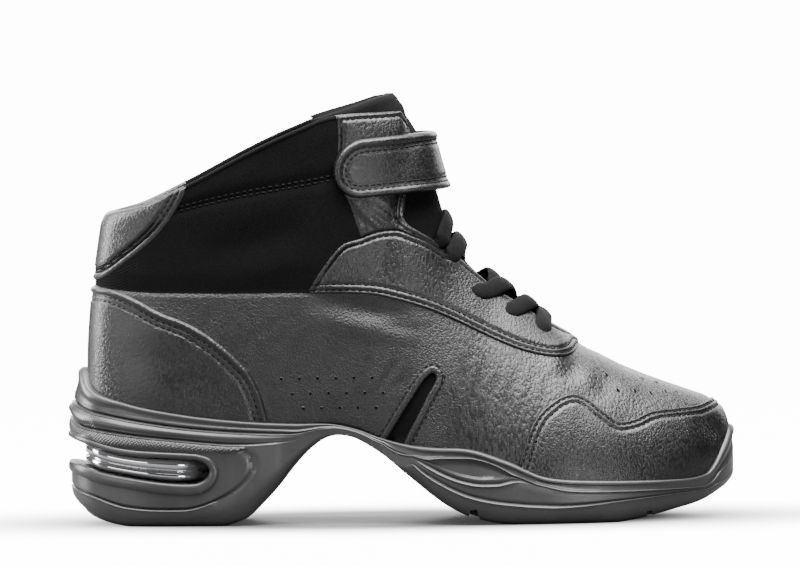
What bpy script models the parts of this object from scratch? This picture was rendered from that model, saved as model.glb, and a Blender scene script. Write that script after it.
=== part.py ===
"""High-top dance sneaker for the right foot, standing empty on its sole.

The toe points along +X, the lateral side faces -Y and the tread rests on Z = 0.
Sizes are millimetres from the back of the heel; each mesh is turned into metres
about the middle of the shoe's footprint when it is made.
"""
import math
from collections import namedtuple

import bmesh
import bpy
import numpy as np

MM = 0.001
FOOTPRINT_MIDDLE = np.array((140.0, 0.0, 0.0))

UPPER_WALL = 2.0
PIECE_GAP = 0.35
CUP_GAP = 0.5
OVERLAY_WALL = 1.0
TONGUE_WALL = 4.0
INSOLE_WALL = 3.5
INSOLE_EASE = 0.6
STRAP_WALL = 2.4
LACE_WALL = 1.4
LACE_WIDTH = 7.0
RIM_WALL = 2.2

UPPER_ROWS_LOW = 5
UPPER_ROWS_HIGH = 5
WALL_SAMPLES = 81
FINE_COLUMNS = 4
MERGE = 0.00005

# Sections of the last, heel to toe: columns up to the next one, feather line, then
# collar edge or instep ridge, then how far the wall rises and flares below and drops
# and reaches above.
Section = namedtuple(
    "Section",
    "name columns foot_x lateral medial top_x top_lateral top_medial top_z rise flare drop reach",
)
SECTIONS = (
    Section("heel_back", 2, 9.8, 0, 0, 16.5, 0, 0, 132.5, 34, 2.6, 30, 5.0),
    Section("heel_turn", 2, 13.5, -16.5, 16.5, 19.5, -13.5, 13.5, 133, 34, 2.8, 30, 5.0),
    Section("heel_side", 2, 26, -26.5, 26.5, 31, -24, 24, 135.5, 34, 3.5, 34, 1.0),
    Section("heel_front", 2, 47, -30.5, 29.5, 50, -30.5, 30, 143.5, 36, 5, 38, -3.0),
    Section("ankle", 2, 73, -30.5, 27, 77, -33.5, 32.5, 157.5, 36, 5, 42, -3.5),
    Section("arch_back", 1, 94, -30, 24, 97, -32.5, 31.5, 166.5, 36, 5, 42, -2.0),
    Section("arch", 3, 108, -30.5, 22.5, 114, -29.5, 29, 172.3, 36, 5, 40, 1.5),
    Section("tab_front", 3, 121, -32, 23, 140.5, -14.5, 14.5, 173.3, 36, 5.5, 30, 13.0),
    Section("ridge_top", 2, 131, -34, 24.5, 145.5, 0, 0, 174.5, 38, 5, 6, 25.0),
    Section("ankle_front", 2, 141, -36.5, 27.5, 153, 0.3, 0.3, 150, 36, 5, 0, 25.0),
    Section("throat", 2, 153, -40, 32, 160, 0.6, 0.6, 125, 30, 5, 0, 26.0),
    Section("instep", 2, 167, -43.2, 37.5, 175, 1.2, 1.2, 105.5, 26, 5, 0, 28.0),
    Section("lace", 2, 183, -45.5, 42.5, 190, 1.8, 1.8, 93, 24, 5, 0, 30.0),
    Section("ball", 1, 199, -46, 45.3, 203, 2.5, 2.5, 82.6, 22, 5, 0, 32.0),
    Section("throat_front", 1, 207.5, -45.4, 45.9, 210.5, 3.1, 3.1, 76.4, 22, 5, 0, 33.0),
    Section("stay_front", 1, 214, -44.4, 45.9, 216, 3.7, 3.7, 72.2, 21, 5, 0, 33.0),
    Section("vamp", 1, 224, -42.2, 45.2, 224.5, 4.6, 4.6, 67.8, 21, 5, 0, 32.0),
    Section("vamp_front", 2, 236, -38, 43, 235, 5.8, 5.8, 62.5, 20, 5, 0, 30.0),
    Section("toe_back", 2, 252, -29, 37.5, 248.5, 7, 7, 57.2, 20, 4.5, 0, 25.0),
    Section("toe_side", 2, 264.5, -17.5, 29.5, 258, 7.7, 7.7, 53.8, 20, 4, 0, 19.0),
    Section("toe_turn", 2, 272, -5, 20, 262.5, 8, 8, 52.2, 21, 4.2, 0, 14.0),
    Section("toe_tip", 0, 274.5, 8, 8, 264, 8, 8, 51.7, 21, 4.4, 0, 12.5),
)
RIDGE_START = 8
TOE_FAN_START = 224.0
TOE_FAN_LENGTH = 24.0

# Side of the sole at each section: heights of the rim and of three moulded lines,
# the depth cut at each line, the swell between the upper two, and the base flare.
SoleSide = namedtuple("SoleSide", "rim high mid low cut_high cut_mid cut_low swell flare")
SOLE_SIDES = (
    SoleSide(66.0, 52.5, 46.0, 17.0, 0.9, 0.9, 0.7, 0.9, 5.8),
    SoleSide(62.0, 49.8, 43.3, 14.3, 0.9, 0.9, 0.7, 0.9, 4.8),
    SoleSide(51.5, 45.3, 39.2, 9.0, 0.9, 0.9, 0.7, 0.9, 3.4),
    SoleSide(47.0, 41.8, 36.6, 7.6, 0.9, 0.9, 0.7, 0.7, 2.6),
    SoleSide(43.8, 39.4, 34.5, 17.0, 0.8, 0.6, 0.5, 0.4, 2.2),
    SoleSide(42.6, 38.6, 35.8, 31.0, 0.5, 0.1, 0.1, 0.1, 1.2),
    SoleSide(42.4, 40.6, 39.6, 38.2, 0.1, 0.0, 0.0, 0.0, 0.8),
    SoleSide(40.0, 38.9, 38.0, 37.0, 0.0, 0.0, 0.0, 0.0, 0.8),
    SoleSide(36.4, 34.7, 33.0, 31.3, 0.2, 0.1, 0.0, -0.1, 0.8),
    SoleSide(33.8, 31.0, 28.4, 25.0, 0.6, 0.4, 0.4, -0.4, 1.0),
    SoleSide(32.3, 28.6, 22.8, 17.8, 0.9, 0.8, 0.8, -1.2, 1.4),
    SoleSide(31.6, 27.2, 16.4, 11.0, 0.9, 0.9, 0.9, -1.4, 1.8),
    SoleSide(27.2, 22.4, 15.3, 7.8, 0.9, 0.9, 0.9, -1.2, 2.0),
    SoleSide(18.6, 15.3, 11.5, 6.4, 0.9, 0.2, 0.9, 0.2, 2.0),
    SoleSide(17.2, 14.0, 10.8, 6.2, 0.9, 0.0, 0.9, 0.2, 1.9),
    SoleSide(16.8, 13.6, 10.5, 6.4, 0.9, 0.0, 0.9, 0.2, 1.8),
    SoleSide(16.6, 13.4, 10.4, 7.0, 0.9, 0.0, 0.9, 0.2, 1.7),
    SoleSide(16.6, 13.4, 10.9, 8.4, 0.9, 0.0, 0.9, 0.2, 1.4),
    SoleSide(16.7, 13.6, 12.2, 10.6, 0.8, 0.0, 0.7, 0.1, 0.6),
    SoleSide(18.6, 15.0, 13.9, 12.9, 0.4, 0.0, 0.3, 0.0, 0.0),
    SoleSide(30.0, 22.0, 19.2, 16.6, 0.2, 0.0, 0.1, 0.0, -0.2),
    SoleSide(38.2, 28.0, 24.0, 20.0, 0.0, 0.0, 0.0, 0.0, -0.1),
)
FULL_RELIEF_HEIGHT = 16.0
LEAST_RELIEF = 0.25
FLARE_SHARE = 0.35
LINING_SHARE = 0.45
TREAD_EDGE_INSET = 6.0
CREST_HALF = 0.9

# Side-view lines of the shoe as rows of station along X and height.
Line = namedtuple("Line", "x z")
FOOT_BED = Line(
    (8, 30, 60, 90, 108, 116, 124, 132, 141, 153, 167, 183, 200, 218, 236, 253, 266, 277),
    (42, 40.6, 40.3, 40.7, 41.0, 40.4, 38.0, 34.0, 28.5, 21.5, 14.2, 10, 9, 9, 9.6, 11.5, 13.6, 16),
)
UNDERSIDE = Line(
    (-1, 2, 5, 9, 14, 20, 26, 64, 70, 76, 82, 88, 95, 101, 107, 113, 119, 126, 133, 139, 145,
     152, 158, 164, 171, 179, 186, 228, 236, 244, 254, 264, 272, 277, 281),
    (14, 9.6, 6.8, 4.4, 2.4, 0.8, 0, 0, 1.4, 4.2, 9.8, 16.2, 25, 31.5, 36, 37.6, 36.6, 33, 28.2, 23,
     18, 12.2, 8, 4.8, 2.4, 0.6, 0, 0, 1.0, 2.6, 4.8, 7.2, 10.4, 13.4, 18),
)
FACING_LINE = Line(
    (8, 25, 60, 104, 128, 140, 152, 162, 172, 182, 190, 198, 205, 210, 214, 218, 236, 280),
    (101, 98.5, 97.4, 97, 96, 93.3, 89.4, 85, 80, 75.2, 72, 69.8, 68.6, 69.4, 72.6, 64, 52, 40),
)
EYESTAY_TOP = Line(
    (100, 106, 115, 123, 130, 138, 144, 153, 158),
    (96, 106, 117, 119.6, 122, 122.6, 120.5, 116, 112),
)
TOE_CAP_TOP = Line(
    (186, 189.4, 191.8, 195.3, 201, 206.6, 211, 217, 224, 231, 237, 243, 255, 265, 271, 276),
    (18, 25.6, 32.5, 40.6, 48.5, 53, 54.3, 51, 45, 40.6, 43, 45.6, 46, 47, 49.8, 54),
)
COUNTER_TOP = Line(
    (6, 14, 22, 30, 39, 49, 58, 64, 72, 78, 81.6, 84, 86),
    (100, 100, 98.4, 95, 90, 86, 81, 76.4, 69, 61.7, 53, 44, 38),
)
HEEL_COLLAR_FOOT = Line(
    (6, 12, 18, 25, 32, 39, 43, 47.5, 51, 54),
    (101.5, 102.5, 105, 110, 115.5, 122, 127, 134, 141, 150),
)

# Front edge of the collar by height, and half the throat's gap by station.
THROAT_EDGE = Line(
    (116, 118, 124, 130, 138, 150, 165, 176),
    (155, 153.5, 146, 141.5, 142, 143, 143.5, 141),
)
THROAT_HALF_GAP = Line(
    (100, 140, 153, 167, 183, 195, 200, 203.5, 207.4),
    (16, 16, 15, 13, 12, 11, 9.5, 7, 0),
)

TOE_CAP_START = 191.5
EYESTAY_START = 93.0
EYESTAY_END = 214.2
COUNTER_END = 83.0
HEEL_COLLAR_END = 51.0
TAB_START = 113.5
TAB_END = 150.0
TAB_GAP_SHARE = 0.012
MIN_PANEL_HEIGHT = 1.2

# Rows of the tongue up the instep: a point on the ridge, the tilt of the row across
# the foot, and the tongue's half width measured along it.
TongueRow = namedtuple("TongueRow", "x z tilt half")
TONGUE_ROWS = (
    TongueRow(213.5, 74.0, 1.1, 20),
    TongueRow(203, 82.6, 1.1, 22),
    TongueRow(190, 93.0, 1.1, 25),
    TongueRow(178, 103.0, 1.0, 28),
    TongueRow(168, 113.0, 0.9, 31),
    TongueRow(160.5, 124.5, 0.7, 34),
    TongueRow(156.5, 137.0, 0.5, 36),
    TongueRow(153, 150.0, 0.35, 37),
    TongueRow(149.5, 162.0, 0.28, 37),
    TongueRow(146.4, 171.5, 0.25, 36),
)
TONGUE_STEPS = 10
TONGUE_RISE = 8.5
TONGUE_EASE = 1.3
TONGUE_STANDOFF = UPPER_WALL + TONGUE_EASE

STRAP_END = (112.0, 150.0)
STRAP_TILT = 0.04
STRAP_WIDTH = 24.0
STRAP_SEWN_END = 117.0
STRAP_COLUMNS = 18
STRAP_ROWS = 6
STRAP_EASE = 0.6
STRAP_STANDOFF = 2 * PIECE_GAP + OVERLAY_WALL + STRAP_EASE

# Eyelets up each side: station of the column, distance down from the ridge, and where
# the crossing that comes from the other side dips under the throat's edge.
Eyelet = namedtuple("Eyelet", "station down throat")
EYELETS = (
    Eyelet(197.0, 20.0, 9.0),
    Eyelet(181.0, 22.0, 10.0),
    Eyelet(167.0, 24.0, 11.0),
    Eyelet(158.5, 24.0, 12.0),
    Eyelet(151.5, 24.0, 12.0),
)
LACE_BAR = Eyelet(199.0, 20.0, 9.0)
LACE_STEPS = 8
LACE_EASE = 0.2
LACE_OVER = 2 * PIECE_GAP + OVERLAY_WALL + LACE_EASE
LACE_UNDER = -2.0
LACE_TURN = 0.3
TWIN_STEP = 0.7

# Side vent by rows of height with its rear and front edges, and how deep it sinks.
VentRow = namedtuple("VentRow", "z rear front")
VENT_ROWS = (
    VentRow(37.5, 133.8, 142.4),
    VentRow(45.0, 138.4, 146.4),
    VentRow(54.0, 144.2, 151.0),
    VentRow(61.0, 149.0, 154.4),
    VentRow(63.4, 151.2, 153.6),
)
VENT_DEPTH = 0.9
VENT_REACH = 4.0

SLOT_TOP = Line((-8, 3, 9, 16, 26, 36, 48, 54), (39, 36, 34, 31.8, 30, 29.2, 28.5, 28))
SLOT_FLOOR = Line((-8, 3, 13, 26, 40, 50, 54), (29, 26.4, 23, 20.6, 18.6, 18, 18.2))
SLOT_TURN = ((57.4, 26.2), (59.0, 23.2), (57.4, 20.2))
REAR_GROOVE = ((166.6, -4), (167.6, 6.2), (170.4, 6.6), (173.4, -4))
FRONT_GROOVE = ((241.0, -4), (241.6, 4.6), (243.6, 4.8), (244.6, -4))
ACROSS = 60.0
CUSHION_INSET = 6.0
CUSHION_FRONT = 52.5
CUSHION_GAP = 0.6
CUSHION_TIERS = (
    (0.0, 0.7), (0.0, 0.4), (0.0, 0.10), (0.14, 0.02), (0.3, 0.0), (0.46, 0.05),
    (0.54, 0.05), (0.7, 0.0), (0.86, 0.02), (1.0, 0.10), (1.0, 0.4), (1.0, 0.7),
)
CENTRE_DRAW = Line((9.8, 47, 236, 274.5), (34, 54, 232, 252))

COLOURS = {
    "rubber": ((0.028, 0.028, 0.030, 1.0), 0.48),
    "clear": ((0.62, 0.64, 0.66, 1.0), 0.18),
    "leather": ((0.022, 0.022, 0.023, 1.0), 0.46),
    "fabric": ((0.012, 0.012, 0.013, 1.0), 0.85),
    "cord": ((0.018, 0.018, 0.020, 1.0), 0.80),
}


def through(values, knots, at):
    """Pass a curve through rows of values without overshooting any of them."""
    step = np.diff(knots)[:, None]
    slope = np.diff(values, axis=0) / step
    before = slope[:-1]
    after = slope[1:]
    mean = (step[1:] * before + step[:-1] * after) / (step[1:] + step[:-1])
    limit = 3.0 * np.minimum(np.abs(before), np.abs(after))
    inner = np.where(before * after > 0, np.sign(mean) * np.minimum(np.abs(mean), limit), 0.0)
    tangent = np.vstack((slope[:1], inner, slope[-1:]))
    k = np.clip(np.searchsorted(knots, at, side="right") - 1, 0, len(knots) - 2)
    h = (knots[k + 1] - knots[k])[:, None]
    f = (at - knots[k])[:, None] / h
    start = values[k] * (1 + 2 * f) * (1 - f) ** 2 + h * tangent[k] * f * (1 - f) ** 2
    end = values[k + 1] * f * f * (3 - 2 * f) + h * tangent[k + 1] * f * f * (f - 1)
    return start + end


def along(line, x):
    """Height of a side-view line at the stations x."""
    x = np.asarray(x, dtype=float)
    rows = np.array(line.z, dtype=float)[:, None]
    knots = np.array(line.x, dtype=float)
    flat = np.clip(x.ravel(), knots[0], knots[-1])
    return through(rows, knots, flat)[:, 0].reshape(x.shape)


def unit(vectors):
    """Scale vectors to unit length."""
    return vectors / np.maximum(np.linalg.norm(vectors, axis=-1, keepdims=True), 1e-9)


FOOT_LATERAL = np.array([(s.foot_x, s.lateral) for s in SECTIONS], dtype=float)
FOOT_MEDIAL = np.array([(s.foot_x, s.medial) for s in SECTIONS], dtype=float)


class Last:
    """The shoe's last as columns that run right round it, heel to toe and back."""

    def __init__(self, refine):
        self.knots_and_places(refine)
        top_lateral = np.array([(s.top_x, s.top_lateral, s.top_z) for s in SECTIONS], dtype=float)
        top_medial = np.array([(s.top_x, s.top_medial, s.top_z) for s in SECTIONS], dtype=float)
        shape = np.array([(s.rise, s.flare, s.drop, s.reach) for s in SECTIONS], dtype=float)
        ridge = np.array([[float(i >= RIDGE_START)] for i in range(len(SECTIONS))])
        side = np.array(SOLE_SIDES, dtype=float)
        self.plan = self.around(FOOT_LATERAL, FOOT_MEDIAL)
        self.top = self.around(top_lateral, top_medial)
        self.ridge = np.clip(self.around(ridge, ridge), 0, 1)
        self.sole = SoleSide(*self.around(side, side).T)
        self.count = len(self.plan)
        self.toe = self.count // 2
        self.mirror = (self.count - np.arange(self.count)) % self.count
        self.foot = np.column_stack((self.plan, along(FOOT_BED, self.plan[:, 0]) + PIECE_GAP))
        self.raise_walls(*self.around(shape, shape).T[:, :, None])
        self.fine_share = np.tile(np.linspace(0, 1, WALL_SAMPLES), (self.count, 1))
        self.fine_wall = self.wall(self.fine_share)
        self.edge_share = self.throat_share()
        self.rim_share = self.share_at_height(self.sole.rim)

    def knots_and_places(self, refine):
        """Space the sections by their mean chord, alike on both sides of the foot."""
        outer = np.linalg.norm(np.diff(FOOT_LATERAL, axis=0), axis=1)
        inner = np.linalg.norm(np.diff(FOOT_MEDIAL, axis=0), axis=1)
        half = 0.5 * (outer + inner)
        steps = [s.columns * refine for s in SECTIONS[:-1]]
        chord = np.concatenate((half, half[::-1]))
        edges = np.concatenate(((0.0,), np.cumsum(chord)))
        self.girth = edges[-1]
        self.knots = edges[:-1]
        runs = []
        for start, length, count in zip(edges[:-1], chord, steps + steps[::-1]):
            runs.append(start + length * np.arange(count) / count)
        self.places = np.concatenate(runs)

    def around(self, lateral, medial):
        """Spread rows given heel to toe on both sides into columns round the shoe."""
        ring = np.vstack((lateral, medial[-2:0:-1]))
        values = np.vstack((ring, ring, ring))
        knots = np.concatenate((self.knots - self.girth, self.knots, self.knots + self.girth))
        return through(values, knots, self.places)

    def raise_walls(self, rise, flare, drop, reach):
        """Bezier handles that give each column its bulge below and its crown above."""
        run = np.roll(self.plan, -1, axis=0) - np.roll(self.plan, 1, axis=0)
        self.out = unit(np.column_stack((run[:, 1], -run[:, 0], np.zeros(self.count))))
        up = np.array((0.0, 0.0, 1.0))
        one_side = np.gradient(self.top[:self.toe + 1], axis=0)
        lead = np.vstack((one_side, one_side[-2:0:-1]))
        lead[:, 1] = 0.0
        lead = unit(lead)
        spread = self.foot - self.top
        fan = np.clip((self.plan[:, :1] - TOE_FAN_START) / TOE_FAN_LENGTH, 0, 1)
        crown = fan * spread[:, :1] * lead
        crown[:, 1] += spread[:, 1]
        brow = unit(self.ridge * unit(crown) + (1 - self.ridge) * self.out)
        low = self.foot + rise * up + flare * self.out
        high = self.top - drop * up + reach * brow
        self.frame = (self.foot, low, high, self.top)

    def wall(self, share):
        """Points at a share of the way up each column; share is columns by rows."""
        t = share[:, :, None]
        weights = ((1 - t) ** 3, 3 * t * (1 - t) ** 2, 3 * t * t * (1 - t), t ** 3)
        return sum(w * p[:, None] for w, p in zip(weights, self.frame))

    def normal(self, share):
        """Outward normals at the same places as wall()."""
        t = share[:, :, None]
        foot, low, high, top = self.frame
        climb = (low - foot)[:, None] * (1 - t) ** 2 + 2 * (high - low)[:, None] * t * (1 - t)
        climb = climb + (top - high)[:, None] * t * t
        weights = ((1 - t) ** 3, 3 * t * (1 - t) ** 2, 3 * t * t * (1 - t), t ** 3)
        runs = [(np.roll(p, -1, axis=0) - np.roll(p, 1, axis=0))[:, None] for p in self.frame]
        run = sum(w * p for w, p in zip(weights, runs))
        return unit(np.cross(run, climb))

    def offset(self, share, distance):
        """Points pushed outward by a distance, alike on both sides of the ridge."""
        points = self.wall(share) + distance * self.normal(share)
        on_ridge = (share > 1 - 1e-6) & (self.ridge > 1 - 1e-6)
        return np.where(on_ridge[:, :, None], 0.5 * (points + points[self.mirror]), points)

    def share_where(self, level):
        """Share up each column where a signed level first rises through zero."""
        beyond = level >= 0
        beyond[:, 0] = False
        first = np.clip(np.argmax(beyond, axis=1), 1, None)
        rows = np.arange(self.count)
        low = level[rows, first - 1]
        high = level[rows, first]
        part = np.clip(-low / np.maximum(high - low, 1e-9), 0, 1)
        share = (first - 1 + part) / (WALL_SAMPLES - 1)
        return np.where(beyond.any(axis=1), share, 1.0)

    def share_at_line(self, line):
        """Share up each column where it crosses a side-view line."""
        return self.share_where(self.fine_wall[:, :, 2] - along(line, self.fine_wall[:, :, 0]))

    def share_at_height(self, height):
        """Share up each column where it reaches its own given height."""
        return self.share_where(self.fine_wall[:, :, 2] - np.asarray(height)[:, None])

    def throat_share(self):
        """Share up each column where the upper ends at the collar or the throat edge."""
        x, y, z = np.moveaxis(self.fine_wall, 2, 0)
        turn = THROAT_EDGE.x[0]
        notch = np.where(z > turn, x - along(THROAT_EDGE, z), -1.0)
        station = self.plan[:, 0]
        half = along(THROAT_HALF_GAP, station)
        gap = half[:, None] - np.abs(y - self.top[:, 1:2] * self.ridge)
        front = (station > THROAT_HALF_GAP.x[0]) & (station < THROAT_HALF_GAP.x[-1])
        gap = np.where(front[:, None] & (z < turn) & (self.fine_share > 0.5), gap, -1.0)
        return np.minimum(self.share_where(notch), self.share_where(gap))

    def cut(self, x, z, tilt):
        """Cut across the last by a tilted plane, lateral side round the front to medial."""
        level = self.fine_wall[:, :, 2] - z - tilt * (self.fine_wall[:, :, 0] - x)
        points = self.wall(self.share_where(level)[:, None])[:, 0]
        lateral = [c for c in range(1, self.toe) if level[c, -1] > 0]
        last = lateral[-1]
        over, under = level[last, -1], level[last + 1, -1]
        nose = self.top[last] + (self.top[last + 1] - self.top[last]) * over / (over - under)
        return np.vstack((points[lateral], nose, points[self.mirror[lateral[::-1]]]))


LAST = Last(1)
FINE_LAST = Last(FINE_COLUMNS)


def make_object(name, mesh, finish):
    """Put a finished mesh in the sneaker's collection with its own material."""
    obj = bpy.data.objects.new(name, mesh)
    SNEAKER.objects.link(obj)
    material = bpy.data.materials.new(name)
    material.use_nodes = True
    colour, roughness = COLOURS[finish]
    shader = material.node_tree.nodes["Principled BSDF"]
    shader.inputs["Base Color"].default_value = colour
    shader.inputs["Roughness"].default_value = roughness
    mesh.materials.append(material)
    mesh.polygons.foreach_set("use_smooth", [True] * len(mesh.polygons))
    return obj


def make_sheet(name, grids, finish):
    """Skin one or more grids of points into a surface, joining points that coincide."""
    work = bmesh.new()
    for points, ring in grids:
        spots = (points - FOOTPRINT_MIDDLE) * MM
        vertices = [[work.verts.new(spot) for spot in column] for column in spots]
        last = len(vertices) if ring else len(vertices) - 1
        for i in range(last):
            here = vertices[i]
            there = vertices[(i + 1) % len(vertices)]
            for j in range(len(here) - 1):
                work.faces.new((here[j], there[j], there[j + 1], here[j + 1]))
    bmesh.ops.remove_doubles(work, verts=work.verts, dist=MERGE)
    bmesh.ops.dissolve_degenerate(work, edges=work.edges, dist=MERGE)
    mesh = bpy.data.meshes.new(name)
    work.to_mesh(mesh)
    work.free()
    return make_object(name, mesh, finish)


def thicken(obj, thickness, side):
    """Give an open sheet its wall, outward for side +1 and inward for side -1."""
    solid = obj.modifiers.new("wall", "SOLIDIFY")
    solid.thickness = thickness * MM
    solid.offset = side
    solid.use_even_offset = False
    solid.use_quality_normals = True


def cut_with(obj, cutter):
    """Take a cutter's shape out of a solid."""
    cut = obj.modifiers.new(cutter.name, "BOOLEAN")
    cut.operation = "DIFFERENCE"
    cut.solver = "EXACT"
    cut.object = cutter


def hide_as_cutter(cutter):
    """Keep a tool shape out of the finished sneaker."""
    CUTTERS.objects.link(cutter)
    cutter.hide_render = True
    cutter.display_type = "WIRE"
    return cutter


def make_cutter(name, outline, half_width):
    """Extrude a side-view outline across the shoe as a hidden cutter."""
    curve = bpy.data.curves.new(name, "CURVE")
    curve.dimensions = "2D"
    curve.fill_mode = "BOTH"
    curve.extrude = half_width * MM
    spline = curve.splines.new("POLY")
    spline.points.add(len(outline) - 1)
    for point, (x, z) in zip(spline.points, outline):
        point.co = ((x - FOOTPRINT_MIDDLE[0]) * MM, z * MM, 0.0, 1.0)
    spline.use_cyclic_u = True
    shape = bpy.data.objects.new(name + "_outline", curve)
    mesh = bpy.data.meshes.new_from_object(shape)
    bpy.data.objects.remove(shape)
    work = bmesh.new()
    work.from_mesh(mesh)
    for vertex in work.verts:
        x, z, across = vertex.co
        vertex.co = (x, -across, z)
    bmesh.ops.remove_doubles(work, verts=work.verts, dist=MERGE)
    bmesh.ops.recalc_face_normals(work, faces=work.faces)
    work.to_mesh(mesh)
    work.free()
    return hide_as_cutter(bpy.data.objects.new(name, mesh))


def centre_line(x):
    """Middle of the foot bed at stations x, drawn in from the heel and toe ends."""
    drawn = np.interp(x, CENTRE_DRAW.x, CENTRE_DRAW.z)
    lateral = np.interp(drawn, FOOT_LATERAL[:, 0], FOOT_LATERAL[:, 1])
    medial = np.interp(drawn, FOOT_MEDIAL[:, 0], FOOT_MEDIAL[:, 1])
    return np.column_stack((drawn, (lateral + medial) / 2))


def make_sole():
    """Moulded cup sole: tread, rolled edges, waved side lines, rim and foot-bed dish."""
    side = LAST.sole
    plan = LAST.plan
    out = LAST.out
    below_rim = LAST.fine_wall[:, :, 2] <= side.rim[:, None]
    reach = ((LAST.fine_wall - LAST.foot[:, None]) * out[:, None]).sum(axis=2)
    rim_out = np.where(below_rim, reach, 0.0).max(axis=1) + CUP_GAP + RIM_WALL
    floor = along(UNDERSIDE, plan[:, 0] + out[:, 0] * (rim_out + side.flare))
    relief = np.clip((side.rim - floor) / FULL_RELIEF_HEIGHT, LEAST_RELIEF, 1.0)
    crest = CREST_HALF * relief

    def ring(height, push):
        full = np.maximum(FLARE_SHARE * (side.rim - floor), 1.0)
        lean = np.clip((side.rim - height) / full, 0, 1)
        lean = lean * lean * (3 - 2 * lean)
        reach_out = rim_out + side.flare * lean + push
        return np.column_stack((plan + out[:, :2] * reach_out[:, None], height))

    zero = np.zeros(LAST.count)
    inset = TREAD_EDGE_INSET * relief
    tread = ring(floor, -inset)
    tread[:, 2] = along(UNDERSIDE, tread[:, 0])
    middle = centre_line(plan[:, 0])
    keel = np.column_stack((middle, along(UNDERSIDE, middle[:, 0])))
    half_keel = 0.5 * (keel + tread)
    half_keel[:, 2] = along(UNDERSIDE, half_keel[:, 0])
    inside = np.column_stack((LAST.rim_share, LINING_SHARE * LAST.rim_share))
    lining = LAST.offset(inside, CUP_GAP)
    lining[:, 0, 2] = side.rim
    seat = np.column_stack((plan + out[:, :2] * CUP_GAP, along(FOOT_BED, plan[:, 0])))
    bed = np.column_stack((middle, along(FOOT_BED, middle[:, 0])))
    rows = (
        keel,
        half_keel,
        tread,
        ring(floor + 0.35 * (side.low - floor) * relief, -0.28 * inset),
        ring(floor + 0.65 * (side.low - floor), -0.05 * inset),
        ring(side.low - crest, 0.2 * relief),
        ring(side.low, -side.cut_low),
        ring(side.low + crest, zero),
        ring(side.mid - crest, zero),
        ring(side.mid, -side.cut_mid),
        ring((side.high + side.mid) / 2, side.swell),
        ring(side.high - crest, 0.3 * side.swell),
        ring(side.high, -side.cut_high),
        ring(side.high + crest, 0.3 * relief),
        ring(side.rim - 0.8 * relief, 0.3 * relief),
        ring(side.rim, -0.7 * relief),
        lining[:, 0],
        lining[:, 1],
        seat,
        bed,
    )
    sole = make_sheet("sole", [(np.stack(rows, axis=1), True)], "rubber")
    top_x = np.linspace(SLOT_TOP.x[0], SLOT_TOP.x[-1], 9)
    floor_x = np.linspace(SLOT_FLOOR.x[-1], SLOT_FLOOR.x[0], 9)
    top = list(zip(top_x, along(SLOT_TOP, top_x)))
    base = list(zip(floor_x, along(SLOT_FLOOR, floor_x)))
    cut_with(sole, make_cutter("heel_window", top + list(SLOT_TURN) + base, ACROSS))
    cut_with(sole, make_cutter("rear_tread_groove", REAR_GROOVE, ACROSS))
    cut_with(sole, make_cutter("front_tread_groove", FRONT_GROOVE, ACROSS))
    return rim_out + side.flare


def make_cushion(side_out):
    """Two-tier air capsule that stands in the heel window."""
    heel = [c for c in range(-LAST.toe, LAST.toe) if LAST.plan[c, 0] < CUSHION_FRONT - 6]
    side = LAST.plan[heel] + LAST.out[heel, :2] * (side_out[heel] - CUSHION_INSET)[:, None]
    front = side[[-1, 0]].copy()
    front[:, 0] = CUSHION_FRONT
    front[:, 1] *= 0.82
    plan = np.vstack((side, front))
    middle = plan.mean(axis=0)
    rows = []
    for share, inset in CUSHION_TIERS:
        pulled = middle + (plan - middle) * (1 - inset)
        low = along(SLOT_FLOOR, pulled[:, 0]) + CUSHION_GAP
        high = along(SLOT_TOP, pulled[:, 0]) - CUSHION_GAP
        rows.append(np.column_stack((pulled, low + share * (high - low))))
    base = np.tile(rows[0].mean(axis=0), (len(plan), 1))
    crown = np.tile(rows[-1].mean(axis=0), (len(plan), 1))
    grid = np.stack([base] + rows + [crown], axis=1)
    make_sheet("heel_cushion", [(grid, True)], "clear")


def make_insole():
    """Foot-bed sheet inside the upper's wall."""
    edge = LAST.plan - LAST.out[:, :2] * (UPPER_WALL + INSOLE_EASE)
    middle = centre_line(LAST.plan[:, 0])
    rows = []
    for share in (0.0, 1.0):
        plan = edge + share * (middle - edge)
        rows.append(np.column_stack((plan, along(FOOT_BED, plan[:, 0]) + PIECE_GAP)))
    insole = make_sheet("insole", [(np.stack(rows, axis=1), True)], "fabric")
    thicken(insole, INSOLE_WALL, 1)


def make_upper():
    """Lasted shell: one hollow wall open at the collar, the throat and the sole."""
    facing = np.minimum(LAST.share_at_line(FACING_LINE), 0.8 * LAST.edge_share)[:, None]
    low = np.linspace(0, 1, UPPER_ROWS_LOW + 1)[None] * facing
    climb = np.linspace(0, 1, UPPER_ROWS_HIGH + 1)[None, 1:]
    high = facing + climb * (LAST.edge_share[:, None] - facing)
    upper = make_sheet("upper", [(LAST.wall(np.hstack((low, high))), True)], "leather")
    thicken(upper, UPPER_WALL, -1)
    return upper


def make_overlay(name, runs, low, high, rows):
    """Leather overlay between two shares, following the upper a gap away."""
    rise = np.linspace(0, 1, rows + 1)[None]
    skin = LAST.offset(low[:, None] + rise * (high - low)[:, None], PIECE_GAP)
    panel = make_sheet(name, [(skin[run], False) for run in runs], "leather")
    thicken(panel, OVERLAY_WALL, 1)


def tall_enough(low, high):
    """Mask of columns where a panel between two shares is worth cutting."""
    height = np.linalg.norm(LAST.wall(high[:, None]) - LAST.wall(low[:, None]), axis=2)[:, 0]
    return (height > MIN_PANEL_HEIGHT) & (high > low)


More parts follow.
